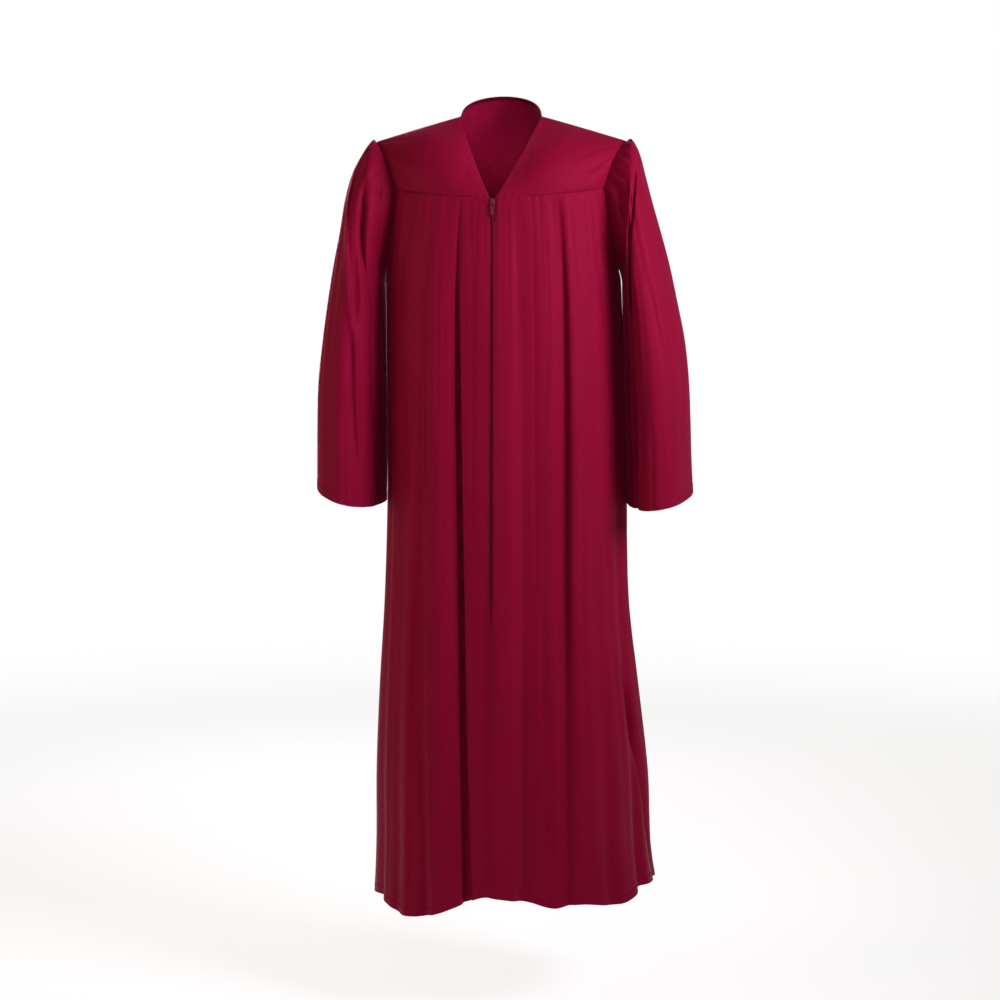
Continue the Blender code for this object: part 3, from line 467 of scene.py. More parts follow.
def startMaterial(name):
    material = bpy.data.materials.new(name)
    material.use_nodes = True
    tree = material.node_tree
    return material, tree, tree.nodes["Principled BSDF"]


def noiseOver(tree, place, stretch=None, **settings):
    grain = addNode(tree, "ShaderNodeTexNoise")
    setInputs(grain, **settings)
    if stretch is not None:
        stretched = addNode(tree, "ShaderNodeMapping")
        setInputs(stretched, Scale=stretch)
        tree.links.new(place, stretched.inputs["Vector"])
        place = stretched.outputs[0]
    tree.links.new(place, grain.inputs["Vector"])
    return grain.outputs["Fac"]


def reliefOf(tree, height, distance, under=None):
    relief = addNode(tree, "ShaderNodeBump")
    setInputs(relief, Strength=1.0, Distance=distance)
    tree.links.new(height, relief.inputs["Height"])
    if under is not None:
        tree.links.new(under, relief.inputs["Normal"])
    return relief.outputs["Normal"]


def colourAndGloss(tree, shader, finish, blend, grain):
    # the colour runs from shaded to lit between two levels of the blend, the gloss follows the grain
    shade = addNode(tree, "ShaderNodeValToRGB")
    ends = zip(shade.color_ramp.elements, finish["levels"], (finish["shaded"], finish["lit"]))
    for element, level, colour in ends:
        element.position, element.color = level, colour
    tree.links.new(blend, shade.inputs["Fac"])
    tree.links.new(shade.outputs["Color"], shader.inputs["Base Color"])
    uneven = calculate(tree, "MULTIPLY", grain, finish["unevenGloss"])
    tree.links.new(calculate(tree, "ADD", uneven, finish["roughness"]), shader.inputs["Roughness"])


gownCloth = {
    "lit": (0.166, 0.0026, 0.0188, 1.0),
    "shaded": (0.140, 0.0020, 0.0160, 1.0),
    "levels": (0.32, 0.68),
    "roughness": 0.45,
    "unevenGloss": 0.10,
    "specular": 0.10,
    "specularTint": (1.0, 0.06, 0.28, 1.0),
    "sheen": 0.18,
    "sheenRoughness": 0.34,
    "sheenTint": (1.0, 0.05, 0.24, 1.0),
    "threadPitch": 0.00055,
    "weaveHeight": 0.00004,
    "slubStretch": (900.0, 60.0, 1.0),
    "slubShare": 0.55,
    "crumpleSize": 22.0,
    "crumpleStretch": (1.0, 0.35, 1.0),
    "crumpleHeight": 0.0007,
}


def clothMaterial(name, finish):
    material, tree, shader = startMaterial(name)
    setInputs(shader, Specular_IOR_Level=finish["specular"], Specular_Tint=finish["specularTint"],
              Sheen_Weight=finish["sheen"], Sheen_Roughness=finish["sheenRoughness"],
              Sheen_Tint=finish["sheenTint"])
    cutMap = addNode(tree, "ShaderNodeUVMap", uv_map="cutMetres").outputs["UV"]
    axes = addNode(tree, "ShaderNodeSeparateXYZ")
    tree.links.new(cutMap, axes.inputs[0])
    turns = 2.0 * math.pi / finish["threadPitch"]
    warp = calculate(tree, "SINE", calculate(tree, "MULTIPLY", axes.outputs["X"], turns))
    weft = calculate(tree, "SINE", calculate(tree, "MULTIPLY", axes.outputs["Y"], turns))
    weave = calculate(tree, "MULTIPLY", warp, weft)
    slubs = noiseOver(tree, cutMap, finish["slubStretch"], Scale=1.0, Detail=3.0, Roughness=0.6)
    crumple = noiseOver(tree, cutMap, finish["crumpleStretch"], Scale=finish["crumpleSize"], Detail=3.0,
                        Roughness=0.45, Distortion=0.3)
    blend = calculate(tree, "ADD", calculate(tree, "MULTIPLY", slubs, finish["slubShare"]),
                      calculate(tree, "MULTIPLY", crumple, 1.0 - finish["slubShare"]))
    colourAndGloss(tree, shader, finish, blend, slubs)
    soft = reliefOf(tree, crumple, finish["crumpleHeight"])
    threads = calculate(tree, "ADD", calculate(tree, "MULTIPLY", weave, 0.5), slubs)
    tree.links.new(reliefOf(tree, threads, finish["weaveHeight"], soft), shader.inputs["Normal"])
    return material


def plainMaterial(name, finish):
    # painted metal, thread and moulded teeth: a noise over the colour, the gloss and the surface
    finish = dict(finish, levels=(0.35, 0.70), unevenGloss=0.2)
    material, tree, shader = startMaterial(name)
    setInputs(shader, Metallic=finish["metallic"], Specular_IOR_Level=finish["specular"])
    place = addNode(tree, "ShaderNodeTexCoord").outputs["Object"]
    grain = noiseOver(tree, place, Scale=finish["grainScale"], Detail=4.0, Roughness=0.6)
    colourAndGloss(tree, shader, finish, grain, grain)
    tree.links.new(reliefOf(tree, grain, finish["relief"]), shader.inputs["Normal"])
    return material


# the neck facing's cloth: the gown's weave with a colour made far darker than the gown's, which paints the
# shade that falls inside the neck edge
insideShadeCloth = dict(gownCloth, lit=(0.060, 0.0014, 0.0075, 1.0), shaded=(0.045, 0.0010, 0.0055, 1.0),
                   roughness=0.53, sheen=0.25)
tapeCloth = dict(gownCloth, lit=(0.130, 0.0026, 0.0180, 1.0), shaded=(0.100, 0.0018, 0.0130, 1.0),
                 roughness=0.63, sheen=0.2, threadPitch=0.0009, weaveHeight=0.0001)
zipMetal = {"lit": (0.125, 0.010, 0.026, 1.0), "shaded": (0.070, 0.004, 0.012, 1.0), "roughness": 0.30,
            "metallic": 0.35, "specular": 0.22, "grainScale": 900.0, "relief": 0.00003}
sewingThread = {"lit": (0.20, 0.006, 0.036, 1.0), "shaded": (0.10, 0.002, 0.016, 1.0), "roughness": 0.45,
                "metallic": 0.0, "specular": 0.25, "grainScale": 2500.0, "relief": 0.00004}
nylonTeeth = {"lit": (0.120, 0.003, 0.016, 1.0), "shaded": (0.080, 0.002, 0.010, 1.0), "roughness": 0.50,
              "metallic": 0.0, "specular": 0.12, "grainScale": 1500.0, "relief": 0.00002}

gownMaterial = clothMaterial("gown cloth", gownCloth)
insideShadeMaterial = clothMaterial("inside cloth darkened as painted shade", insideShadeCloth)
tapeMaterial = clothMaterial("zip tape cloth", tapeCloth)
metalMaterial = plainMaterial("painted zip metal", zipMetal)
threadMaterial = plainMaterial("sewing thread", sewingThread)
teethMaterial = plainMaterial("nylon zip teeth", nylonTeeth)
print("materials made")

# Turning a grid of points into a thin cloth piece

clothWall = 0.0007
sharpEdge = math.radians(60.0)


def clothPiece(name, grid, material, wall=clothWall, closed=False):
    # the grid is the cloth's outer side; the wall lies within, and the map holds metres of cloth
    rows, columns = grid.shape[:2]
    beside = np.roll(np.arange(columns), -1) if closed else np.arange(1, columns)
    spans = len(beside) if closed else columns - 1
    ring = np.concatenate([grid, grid[:, :1]], axis=1) if closed else grid
    downMetres, acrossMetres = lengthsDown(ring), lengthsAcross(ring)
    acrossMetres = np.broadcast_to(acrossMetres[rows // 2], ring.shape[:2])
    up, low = np.meshgrid(np.arange(rows - 1), np.arange(spans), indexing="ij")
    first, second = low, beside[low]
    corners = np.stack([up * columns + first, (up + 1) * columns + first,
                        (up + 1) * columns + second, up * columns + second], axis=-1).reshape(-1, 4)
    mapped = np.stack([np.stack([acrossMetres[r, c], downMetres[r, c]], axis=-1)
                       for r, c in ((up, low), (up + 1, low), (up + 1, low + 1), (up, low + 1))], axis=2)
    mapped = mapped.reshape(-1, 4, 2)
    points = grid.reshape(-1, 3)
    a, b, d = points[corners[:, 0]], points[corners[:, 1]], points[corners[:, 3]]
    facing = np.cross(b - a, d - a)
    outward = outwardOf(grid, closed).reshape(-1, 3)[corners[:, 0]]
    if np.mean(np.sum(facing * outward, axis=-1)) < 0.0:
        corners, mapped = corners[:, ::-1], mapped[:, ::-1]
    mesh = bpy.data.meshes.new(name)
    mesh.from_pydata(points.tolist(), [], corners.tolist())
    cutMap = mesh.uv_layers.new(name="cutMetres")
    cutMap.data.foreach_set("uv", mapped.astype(np.float32).ravel())
    mesh.materials.append(material)
    source = addObject(name + "_source", mesh)
    thickness = source.modifiers.new("cloth wall", "SOLIDIFY")
    thickness.thickness = wall
    thickness.offset = -1.0
    solid = finishedMesh(source, name)
    solid.shade_smooth()
    solid.set_sharp_from_angle(angle=sharpEdge)
    return addObject(name, solid)


def finishCloth(piece, node):
    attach(piece, "gown")
    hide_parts(node)


# Panels

panelCreases = {
    # places are degrees round from the zip and heights
    "front": (
        (-60, -0.15, -63, -0.42, 0.004, 0.007, 0.0016, 0.2),
        (-50, -0.13, -48.5, -0.62, -0.003, 0.006, 0.0014, -0.2),
        (-37, -0.13, -33, -0.55, 0.003, 0.005, 0.0012, 0.3),
        (-31, -0.2, -28, -0.9, 0.002, 0.005, 0.001, 0),
        (-15, -0.13, -12, -0.7, 0.003, 0.005, 0.0011, 0.3),
        (-90, -0.16, -90, -0.86, 0, 0.014, -0.0012, 0),
        (90, -0.11, 90, -0.86, 0, 0.014, -0.003, 0),
        (-24.2, -0.12, -9.5, -1.65, 0, 0.0036, 0.008, -0.2),
        (44.5, -0.12, 41.5, -0.95, 0.002, 0.0036, 0.0045, 0),
        (-27, -0.75, -22, -1.4, 0.004, 0.008, 0.0022, 0.3),
        (-45, -0.7, -40, -1.42, -0.004, 0.009, 0.0028, 0.3),
        (-62, -0.6, -58, -1.4, 0.004, 0.009, 0.0024, 0.2),
        (-82, -0.45, -80, -1.1, 0.003, 0.008, 0.0022, 0),
        (16, -0.13, 15, -0.6, 0.002, 0.004, 0.0009, 0.2),
        (27, -0.14, 26, -0.85, -0.002, 0.004, 0.0011, 0.2),
        (34.5, -0.13, 32.5, -0.48, 0.003, 0.005, 0.0012, 0.3),
        (49, -0.13, 48, -0.36, 0.002, 0.005, 0.001, 0),
        (52, -0.42, 46.5, -1.1, 0.002, 0.004, 0.0013, -0.2),
        (64, -0.14, 66.5, -0.34, -0.003, 0.005, 0.0018, 0),
        (15, -0.8, 14, -1.4, 0.003, 0.008, 0.002, 0.3),
        (30, -0.7, 29, -1.42, -0.004, 0.008, 0.0022, 0.3),
        (62, -0.55, 65, -1.3, 0.005, 0.008, 0.0022, 0.2),
        (70, -0.85, 90, -1.36, 0.004, 0.008, 0.015, 0.2),
        (80, -0.5, 90, -1.3, 0.004, 0.01, -0.0045, -0.3),
    ),
    "back": (
        (-90, -0.16, -90, -0.86, 0, 0.014, -0.0012, 0),
        (-270, -0.11, -270, -0.86, 0, 0.014, -0.003, 0),
        (-290, -0.85, -270, -1.36, 0.004, 0.008, 0.015, 0.2),
        (-280, -0.5, -270, -1.3, 0.004, 0.01, -0.0045, -0.3),
        (-97, -0.3, -96, -0.95, 0.003, 0.008, 0.002, 0.2),
        (-112, -0.14, -111, -0.6, 0.003, 0.006, 0.0014, 0.2),
        (-127, -0.14, -127, -0.8, -0.003, 0.005, 0.0013, -0.2),
        (-140, -0.14, -141, -0.52, 0.002, 0.005, 0.0012, 0.3),
        (-153, -0.14, -154, -0.75, 0.002, 0.005, 0.0014, -0.3),
        (-166, -0.14, -167, -0.58, -0.002, 0.005, 0.0012, 0.3),
        (-180, -0.14, -180, -0.9, 0.003, 0.005, 0.0014, 0),
        (-194, -0.14, -193, -0.55, 0.002, 0.005, 0.0012, -0.3),
        (-207, -0.14, -206, -0.82, -0.003, 0.005, 0.0014, 0.3),
        (-220, -0.14, -219, -0.5, 0.002, 0.005, 0.0012, 0),
        (-234, -0.14, -233, -0.72, 0.003, 0.006, 0.0013, 0.2),
        (-249, -0.14, -249, -0.6, -0.003, 0.006, 0.0014, -0.2),
        (-264, -0.3, -264, -1.05, 0.003, 0.008, 0.002, 0),
        (-128, -0.7, -129, -1.42, 0.004, 0.008, 0.0026, 0.3),
        (-155, -0.78, -157, -1.42, -0.004, 0.008, 0.0024, 0.3),
        (-181, -0.72, -182, -1.42, 0.004, 0.008, 0.0026, -0.3),
        (-206, -0.8, -205, -1.42, 0.003, 0.008, 0.0024, 0.3),
        (-232, -0.74, -231, -1.42, -0.003, 0.008, 0.0026, -0.3),
    ),
    "scale": (0.0033, 1.0),
}

# Fine flutes where the panels are eased into the yoke seam, uneven in place, depth and length
flutes = {
    "pitchDeg": 5.2,
    "unevenness": 1.2,
    "depth": 0.0010,
    "halfWidthDeg": 1.3,
    "shortest": 0.06,
    "longest": 0.34,
    "depthRange": (0.35, 1.0),
    "widthRange": (0.7, 1.4),
    "firstDeg": -262.0,
    "lastDeg": 70.0,
    "seed": 11,
}


def fluteDepth(deg, below):
    chance = np.random.default_rng(flutes["seed"])
    total = np.zeros_like(deg)
    place = flutes["firstDeg"]
    while place < flutes["lastDeg"]:
        depth = flutes["depth"] * chance.uniform(*flutes["depthRange"])
        length = chance.uniform(flutes["shortest"], flutes["longest"])
        width = flutes["halfWidthDeg"] * chance.uniform(*flutes["widthRange"])
        total += depth * np.exp(-((deg - place) / width) ** 2 - (below / length) ** 2)
        place += flutes["pitchDeg"] * (1.0 + flutes["unevenness"] * chance.uniform(-0.5, 0.5))
    return total


# Points stand closer near seams and hems: even steps between the ends, so many points to a run
panelRows = {"ends": (0.0, 0.012, 0.980, 1.0), "points": (9, 212, 15)}
panelColumns = {"front": 118, "back": 178}
panelEase = {"creases": 0.010, "flutes": 0.004}  # how far below the yoke seam these reach their depth

# The zip's row of stitches: its distance from the fold along the zip, and the puckers' lower end
zipSewing = {"away": 0.0058, "endZ": -0.80, "fadeZ": 0.05}


def unevenSteps(ends, points):
    runs = [np.linspace(*ends[run:run + 2], count) for run, count in enumerate(points)]
    return np.concatenate([runs[0]] + [run[1:] for run in runs[1:]])


def panelGrid(place, creases, columns, closeEdge):
    steps = unevenSteps(panelRows["ends"], panelRows["points"])
    across, down = np.meshgrid(np.linspace(0.0, 1.0, columns + 1), steps)
    deg, z, runIn = place(across, down)
    grid = bodyPoint(deg, z, runIn)
    fromTop, fromFirst = lengthsDown(grid), lengthsAcross(grid)
    fromHem, fromLast = fromTop[-1] - fromTop, fromFirst[:, -1:] - fromFirst
    ease = 1.0 - np.exp(-(fromTop / panelEase["creases"]) ** 2)
    depth = creaseDepth(creases, deg, z, panelCreases["scale"]) * ease
    depth += fluteDepth(deg, fromTop) * (1.0 - np.exp(-fromTop / panelEase["flutes"]))
    depth += rollIn(fromTop) + rollIn(fromLast) + puckers(fromFirst, fromTop, rowPhase["yokeSeam"])
    depth += hemmed(fromFirst, fromHem, rowPhase["hem"])
    depth += rollIn(fromFirst) * closeEdge
    if closeEdge < 1.0:
        # the front edge is folded back along the zip, and the zip's stitches pucker it
        onZip = smoothStep((z - zipSewing["endZ"]) / zipSewing["fadeZ"])
        depth += puckers(fromTop, fromFirst - zipSewing["away"], rowPhase["zip"]) * onZip
    outward = outwardOf(grid)
    return tuckUnder(grid - outward * depth[..., None], outward)


panelGrids = {}
for name, side in (("right", right), ("left", left)):
    panelGrids[name] = panelGrid(frontPanelPlace(side), panelCreases["front"], panelColumns["front"], 0.5)
    piece = clothPiece("cloth_front_" + name, panelGrids[name], gownMaterial)
    finishCloth(piece, "front_panel_" + name)
panelGrids["back"] = panelGrid(backPanelPlace, panelCreases["back"], panelColumns["back"], 1.0)
backPanel = clothPiece("cloth_back", panelGrids["back"], gownMaterial)
finishCloth(backPanel, "back_panel")
print("panels made")

# Yokes and the turned band inside the neck edge

yokeCreases = {
    # places are shares across and down
    "right": (
        (0.3, 0.05, 0.55, 0.75, 0.006, 0.016, 0.0022, 0.2),
        (0.97, 0.3, 0.72, 0.7, 0.003, 0.006, 0.0016, 0),
        (0.99, 0.55, 0.8, 0.95, -0.002, 0.006, 0.0018, 0.2),
        (0.98, 0.1, 0.7, 0.3, 0.003, 0.007, 0.0012, 0),
        (0.12, 0.55, 0.3, 0.95, 0.002, 0.006, 0.001, 0),
    ),
    "left": (
        (0.25, 0.1, 0.45, 0.8, 0.005, 0.018, 0.0018, 0.2),
        (0.98, 0.25, 0.68, 0.62, 0.004, 0.006, 0.0015, 0.2),
        (0.99, 0.5, 0.78, 0.96, -0.003, 0.005, 0.002, 0),
        (0.96, 0.74, 0.6, 0.92, 0.002, 0.005, 0.0011, 0),
        (0.14, 0.45, 0.26, 0.92, 0.002, 0.006, 0.001, 0),
    ),
    "back": (
        (0.03, 0.3, 0.16, 0.66, 0.003, 0.007, 0.0018, 0),
        (0.02, 0.55, 0.12, 0.95, -0.002, 0.006, 0.0018, 0.2),
        (0.97, 0.25, 0.84, 0.6, 0.003, 0.007, 0.0018, 0),
        (0.98, 0.55, 0.88, 0.96, 0.002, 0.006, 0.0016, 0.2),
        (0.36, 0.2, 0.4, 0.85, 0.004, 0.012, 0.0016, 0.2),
        (0.64, 0.25, 0.61, 0.9, -0.004, 0.012, 0.0014, 0.2),
        (0.5, 0.12, 0.5, 0.55, 0, 0.01, 0.001, 0),
    ),
    "frontScale": (0.14, 0.14),
    "backScale": (0.42, 0.17),
}

yokeEdges = {"first": 0.8, "last": 1.0, "top": 0.6}  # how strongly each edge rolls in
yokeMesh = {"frontColumns": 60, "backColumns": 150, "rows": 56, "crowdAcross": 0.4, "crowdDown": 0.5}

# The turned band: shares of the yokes that it covers, its wall, and how far under them it lies
neckBand = {"frontShare": 0.065, "backShare": 0.06, "edgeShare": 0.002, "start": 0.02, "end": 0.995,
            "wall": 0.0007, "under": 0.0011, "pointsWide": 6, "pointsFront": 50, "pointsBack": 70}


def crowded(count, share):
    # shares from 0 to 1 that stand closer near both ends, where the cloth rolls into its seams
    even = np.linspace(0.0, 1.0, count + 1)
    rounded = 0.5 - 0.5 * np.cos(np.linspace(0.0, math.pi, count + 1))
    return (1.0 - share) * even + share * rounded


def yokeGrid(surface, creases, scale, columns, plainEdges):
    across, down = np.meshgrid(crowded(columns, yokeMesh["crowdAcross"]),
                               crowded(yokeMesh["rows"], yokeMesh["crowdDown"]))
    grid = surface(across, down)
    fromTop, fromFirst = lengthsDown(grid), lengthsAcross(grid)
    fromSeam, fromLast = fromTop[-1] - fromTop, fromFirst[:, -1:] - fromFirst
    depth = creaseDepth(creases, across, down, scale)
    depth += rollIn(fromSeam) + puckers(fromFirst, fromSeam - stitchRows["yokeAbove"], rowPhase["yoke"])
    depth += rollIn(fromLast) * plainEdges["last"] + rollIn(fromFirst) * plainEdges["first"]
    depth += rollIn(fromTop) * plainEdges["top"]
    return grid - outwardOf(grid) * depth[..., None]


yokeGrids = {}
for name, side in (("right", right), ("left", left)):
    yokeGrids[name] = yokeGrid(frontYokeSurface(side), yokeCreases[name], yokeCreases["frontScale"],
                               yokeMesh["frontColumns"], yokeEdges)
    piece = clothPiece("cloth_front_yoke_" + name, yokeGrids[name], gownMaterial)
    finishCloth(piece, "front_yoke_" + name)
yokeGrids["back"] = yokeGrid(backYokeSurface, yokeCreases["back"], yokeCreases["backScale"],
                             yokeMesh["backColumns"], dict(yokeEdges, first=1.0))
backYoke = clothPiece("cloth_back_yoke", yokeGrids["back"], gownMaterial)
finishCloth(backYoke, "back_yoke")


def bandGrid(surface, across, down):
    spread, drop = np.meshgrid(across, down)
    grid = surface(spread, drop)
    return grid - outwardOf(grid) * neckBand["under"]


# The bands below carry the darkened inside cloth: painted shade along the inside of the neck edge
frontBandAcross = np.linspace(neckBand["edgeShare"], neckBand["frontShare"], neckBand["pointsWide"])
frontBandDown = np.linspace(neckBand["start"], neckBand["end"], neckBand["pointsFront"])
for name, side in (("right", right), ("left", left)):
    grid = bandGrid(frontYokeSurface(side), frontBandAcross, frontBandDown)
    piece = clothPiece("band_neck_" + name, grid, insideShadeMaterial, neckBand["wall"])
    finishCloth(piece, "neck_band_" + name)
backBandAcross = np.linspace(yoke["shoulderShare"], 1.0 - yoke["shoulderShare"], neckBand["pointsBack"])
backBandDown = np.linspace(neckBand["edgeShare"], neckBand["backShare"], neckBand["pointsWide"])
backBandGrid = bandGrid(backYokeSurface, backBandAcross, backBandDown)
backBand = clothPiece("band_neck_back", backBandGrid, insideShadeMaterial, neckBand["wall"])
finishCloth(backBand, "neck_band_back")
print("yokes and neck band made")

# Sleeves

sleeves = {
    "columns": ("outerX", "outerZ", "innerX", "innerZ", "frontY", "backY"),
    "left": (
        (0.2130, -0.0365, 0.1968, -0.2620, -0.084, 0.094),
        (0.2250, -0.0590, 0.1975, -0.2800, -0.092, 0.101),
        (0.2340, -0.0920, 0.1984, -0.3000, -0.098, 0.108),
        (0.2455, -0.1350, 0.1993, -0.3250, -0.104, 0.115),
        (0.2600, -0.1850, 0.2004, -0.3520, -0.109, 0.121),
        (0.2740, -0.2360, 0.2015, -0.3800, -0.113, 0.127),
        (0.2880, -0.3000, 0.2028, -0.4150, -0.117, 0.133),
        (0.3000, -0.3600, 0.2042, -0.4550, -0.120, 0.138),
        (0.3070, -0.4250, 0.2055, -0.4980, -0.122, 0.143),
        (0.3100, -0.4900, 0.2068, -0.5420, -0.124, 0.147),
        (0.3120, -0.5500, 0.2080, -0.5850, -0.126, 0.150),
        (0.3150, -0.6050, 0.2090, -0.6240, -0.127, 0.152),
    ),
    "right": (
        (-0.2100, -0.0365, -0.1898, -0.2620, -0.084, 0.094),
        (-0.2270, -0.0600, -0.1900, -0.2800, -0.092, 0.101),
        (-0.2430, -0.0920, -0.1900, -0.3000, -0.098, 0.108),
        (-0.2540, -0.1330, -0.1900, -0.3250, -0.104, 0.115),
        (-0.2620, -0.1820, -0.1900, -0.3520, -0.109, 0.121),
        (-0.2720, -0.2320, -0.1900, -0.3800, -0.113, 0.127),
        (-0.2825, -0.2960, -0.1900, -0.4150, -0.117, 0.133),
        (-0.2915, -0.3600, -0.1900, -0.4550, -0.120, 0.138),
        (-0.2985, -0.4250, -0.1902, -0.4980, -0.122, 0.143),
        (-0.3005, -0.4880, -0.1905, -0.5420, -0.124, 0.147),
        (-0.3010, -0.5450, -0.1910, -0.5850, -0.126, 0.150),
        (-0.3015, -0.5950, -0.1918, -0.6240, -0.127, 0.152),
    ),
    "cuffDip": 0.010,
    "standOff": 0.0004,
    "allowance": 0.018,
    "around": 216,
    "headPoints": 25,
    "headCrowding": 1.3,
    "ends": (1.0, 11.7, 12.0),
    "points": (88, 14),
}

# Long folds of the sleeves: degrees round (0 outer, 90 front, 180 inner, 270 back) at the head
# and the cuff, depths at the head, halfway and at the cuff, and reach
sleeveFolds = {
    "columns": ("topDeg", "cuffDeg", "topDepth", "midDepth", "cuffDepth", "reachDeg"),
    "left": (
        (48.0, 42.0, 0.003, 0.004, 0.003, 13.0),
        (126.0, 140.0, 0.007, 0.010, 0.005, 15.0),
        (78.0, 84.0, 0.003, 0.003, 0.002, 12.0),
        (232.0, 222.0, 0.005, 0.009, 0.006, 16.0),
        (290.0, 286.0, 0.004, 0.007, 0.005, 17.0),
        (330.0, 326.0, 0.002, 0.005, 0.003, 14.0),
    ),
    "right": (
        (30.0, 66.0, 0.003, 0.006, 0.002, 13.0),
        (74.0, 118.0, 0.004, 0.009, 0.005, 16.0),
        (118.0, 152.0, 0.006, 0.007, 0.003, 14.0),
        (228.0, 236.0, 0.005, 0.008, 0.006, 17.0),
        (276.0, 284.0, 0.004, 0.008, 0.005, 16.0),
        (322.0, 330.0, 0.002, 0.004, 0.003, 14.0),
    ),
}

# Creases of the sleeves: degrees round and rings down from the armhole (0) to the cuff (12)
sleeveCreases = {
    "left": (
        (180, 0, 184, 15, 0, 0.022, -0.0042, 0),
        (74, 0.3, 158, 2.2, 0.003, 0.008, 0.008, 0),
        (56, 1.1, 152, 1.5, 0.004, 0.007, -0.0055, 0),
        (34, 1.6, 112, 2.5, 0.004, 0.008, 0.007, 0.2),
        (96, 0.3, 140, 5.4, 0.002, 0.012, -0.012, 0),
        (90, 1.3, 138, 6, 0.002, 0.01, 0.01, 0),
        (134, 4.6, 150, 11, 0.002, 0.012, 0.008, 0.2),
        (100, 2.6, 118, 9, 0.004, 0.01, -0.003, 0.2),
        (134, 7.6, 143, 13.5, 0.002, 0.011, 0.004, 0.2),
        (30, 1.2, 62, 5.6, 0.005, 0.008, 0.002, 0.2),
        (78, 5, 70, 11, 0.006, 0.011, 0.0026, 0.2),
        (150, 6, 140, 13.5, 0.004, 0.01, 0.004, 0.2),
        (28, 7.2, 52, 10.6, 0.004, 0.01, 0.0022, 0.3),
        (100, 9, 106, 13.6, 0.002, 0.01, 0.0028, 0),
        (318, 1.2, 292, 5.8, 0.004, 0.008, 0.0022, 0.2),
        (262, 0.5, 238, 4.6, 0.003, 0.008, 0.0032, 0.2),
        (300, 5.6, 306, 11.4, 0.005, 0.011, 0.0026, 0.2),
        (250, 6.4, 258, 13.5, 0.004, 0.01, 0.003, 0.2),
    ),
    "right": (
        (180, 0, 184, 15, 0, 0.022, -0.0024, 0),
        (22, 2.2, 114, 7.4, 0.006, 0.012, -0.0075, 0.2),
        (100, 5.6, 124, 11, 0.003, 0.01, -0.005, 0),
        (52, 1.2, 152, 5.8, 0.006, 0.019, 0.0105, -0.2),
        (128, 4.4, 150, 10, 0.003, 0.012, 0.0065, 0),
        (66, 0.45, 140, 1, 0.003, 0.006, 0.004, 0),
        (34, 1.2, 58, 4.6, 0.004, 0.008, 0.0022, 0.2),
        (28, 5, 44, 11, 0.005, 0.01, 0.0024, 0.2),
        (92, 8.6, 98, 13.6, 0.003, 0.01, 0.0026, 0),
        (136, 9.2, 132, 13.6, 0.003, 0.009, 0.0026, 0),
        (320, 1.2, 296, 5.4, 0.004, 0.008, 0.0022, 0.2),
        (264, 0.5, 240, 4.8, 0.003, 0.008, 0.0032, 0.2),
        (304, 5.2, 310, 11.2, 0.005, 0.011, 0.0026, 0.2),
        (252, 6, 262, 13.5, 0.004, 0.01, 0.003, 0.2),
    ),
    "scale": (0.0021, 0.045),
}

# Gathers of the sleeve head: ridges as uneven as fingers ease them in
gathers = {
    "reachDeg": 116.0,
    "fadeDeg": 34.0,
    "pitchDeg": 11.5,
    "pitchRange": (0.7, 1.3),
    "height": 0.0030,
    "heightRange": (0.55, 1.0),
    "widthDeg": 3.6,
    "widthRange": (0.8, 1.3),
    "widening": 0.25,
    "leanRange": (-3.0, 3.0),
    "rings": (0.9, 3.4),
    "riseRings": 0.35,
    "sink": 0.3,
    "sinkRings": 1.5,
    "seed": 5,
}


def armholePoints(side, turns):
    # the armhole's edge in quarters: front yoke, front panel, back panel, back yoke
    quarter, share = np.divmod(turns / 90.0, 1.0)
    rowsDown = np.array(yoke["edgeRows"])
    stepDown = np.linspace(0.0, 1.0, len(rowsDown))
    forwardDown, backDown = np.interp(share, stepDown, rowsDown), np.interp(1.0 - share, stepDown, rowsDown)
    ones, zeros = np.ones_like(turns), np.zeros_like(turns)
    frontYoke = frontYokeSurface(side)(ones, forwardDown)
    backYokeEdge = backYokeSurface(zeros if side == right else ones, backDown)
    frontAcross = frontSeamShare + (1.0 - frontSeamShare) * share
    frontPanel = bodyPoint(*frontPanelPlace(side)(frontAcross, zeros))
    backAcross = backArmholeShare * share
    backPanelEdge = bodyPoint(*backPanelPlace(backAcross if side == right else 1.0 - backAcross, zeros))
    return np.select([quarter[:, None] == number for number in range(4)],
                     [frontYoke, frontPanel, backPanelEdge, backYokeEdge])


def sleeveRing(row, turns):
    ring = dict(zip(sleeves["columns"], row))
    outer, sine = (1.0 + np.cos(np.radians(turns))) / 2.0, np.sin(np.radians(turns))
    x = ring["innerX"] + (ring["outerX"] - ring["innerX"]) * outer
    y = np.where(sine > 0.0, ring["frontY"] * sine, -ring["backY"] * sine)
    z = ring["innerZ"] + (ring["outerZ"] - ring["innerZ"]) * outer
    return np.stack([x, y, z], axis=-1)


def gatherHeight(turns, ringsDown, side):
    chance = np.random.default_rng(gathers["seed"] + int(side))
    fromTop = (turns + 180.0) % 360.0 - 180.0
    window = smoothStep((gathers["reachDeg"] - np.abs(fromTop)) / gathers["fadeDeg"])
    total = np.zeros_like(ringsDown)
    place = -gathers["reachDeg"]
    while place < gathers["reachDeg"]:
        length = chance.uniform(*gathers["rings"])
        height = gathers["height"] * chance.uniform(*gathers["heightRange"])
        widening = 1.0 + gathers["widening"] * ringsDown
        width = gathers["widthDeg"] * chance.uniform(*gathers["widthRange"]) * widening
        lean = chance.uniform(*gathers["leanRange"]) * ringsDown
        rise = (1.0 - np.exp(-(ringsDown / gathers["riseRings"]) ** 2)) * np.exp(-(ringsDown / length) ** 2)
        total += height * rise * np.exp(-((fromTop - place - lean) / width) ** 2)
        place += gathers["pitchDeg"] * chance.uniform(*gathers["pitchRange"])
    sunk = gathers["sink"] * gathers["height"] * np.exp(-ringsDown / gathers["sinkRings"])
    return (total - sunk) * window


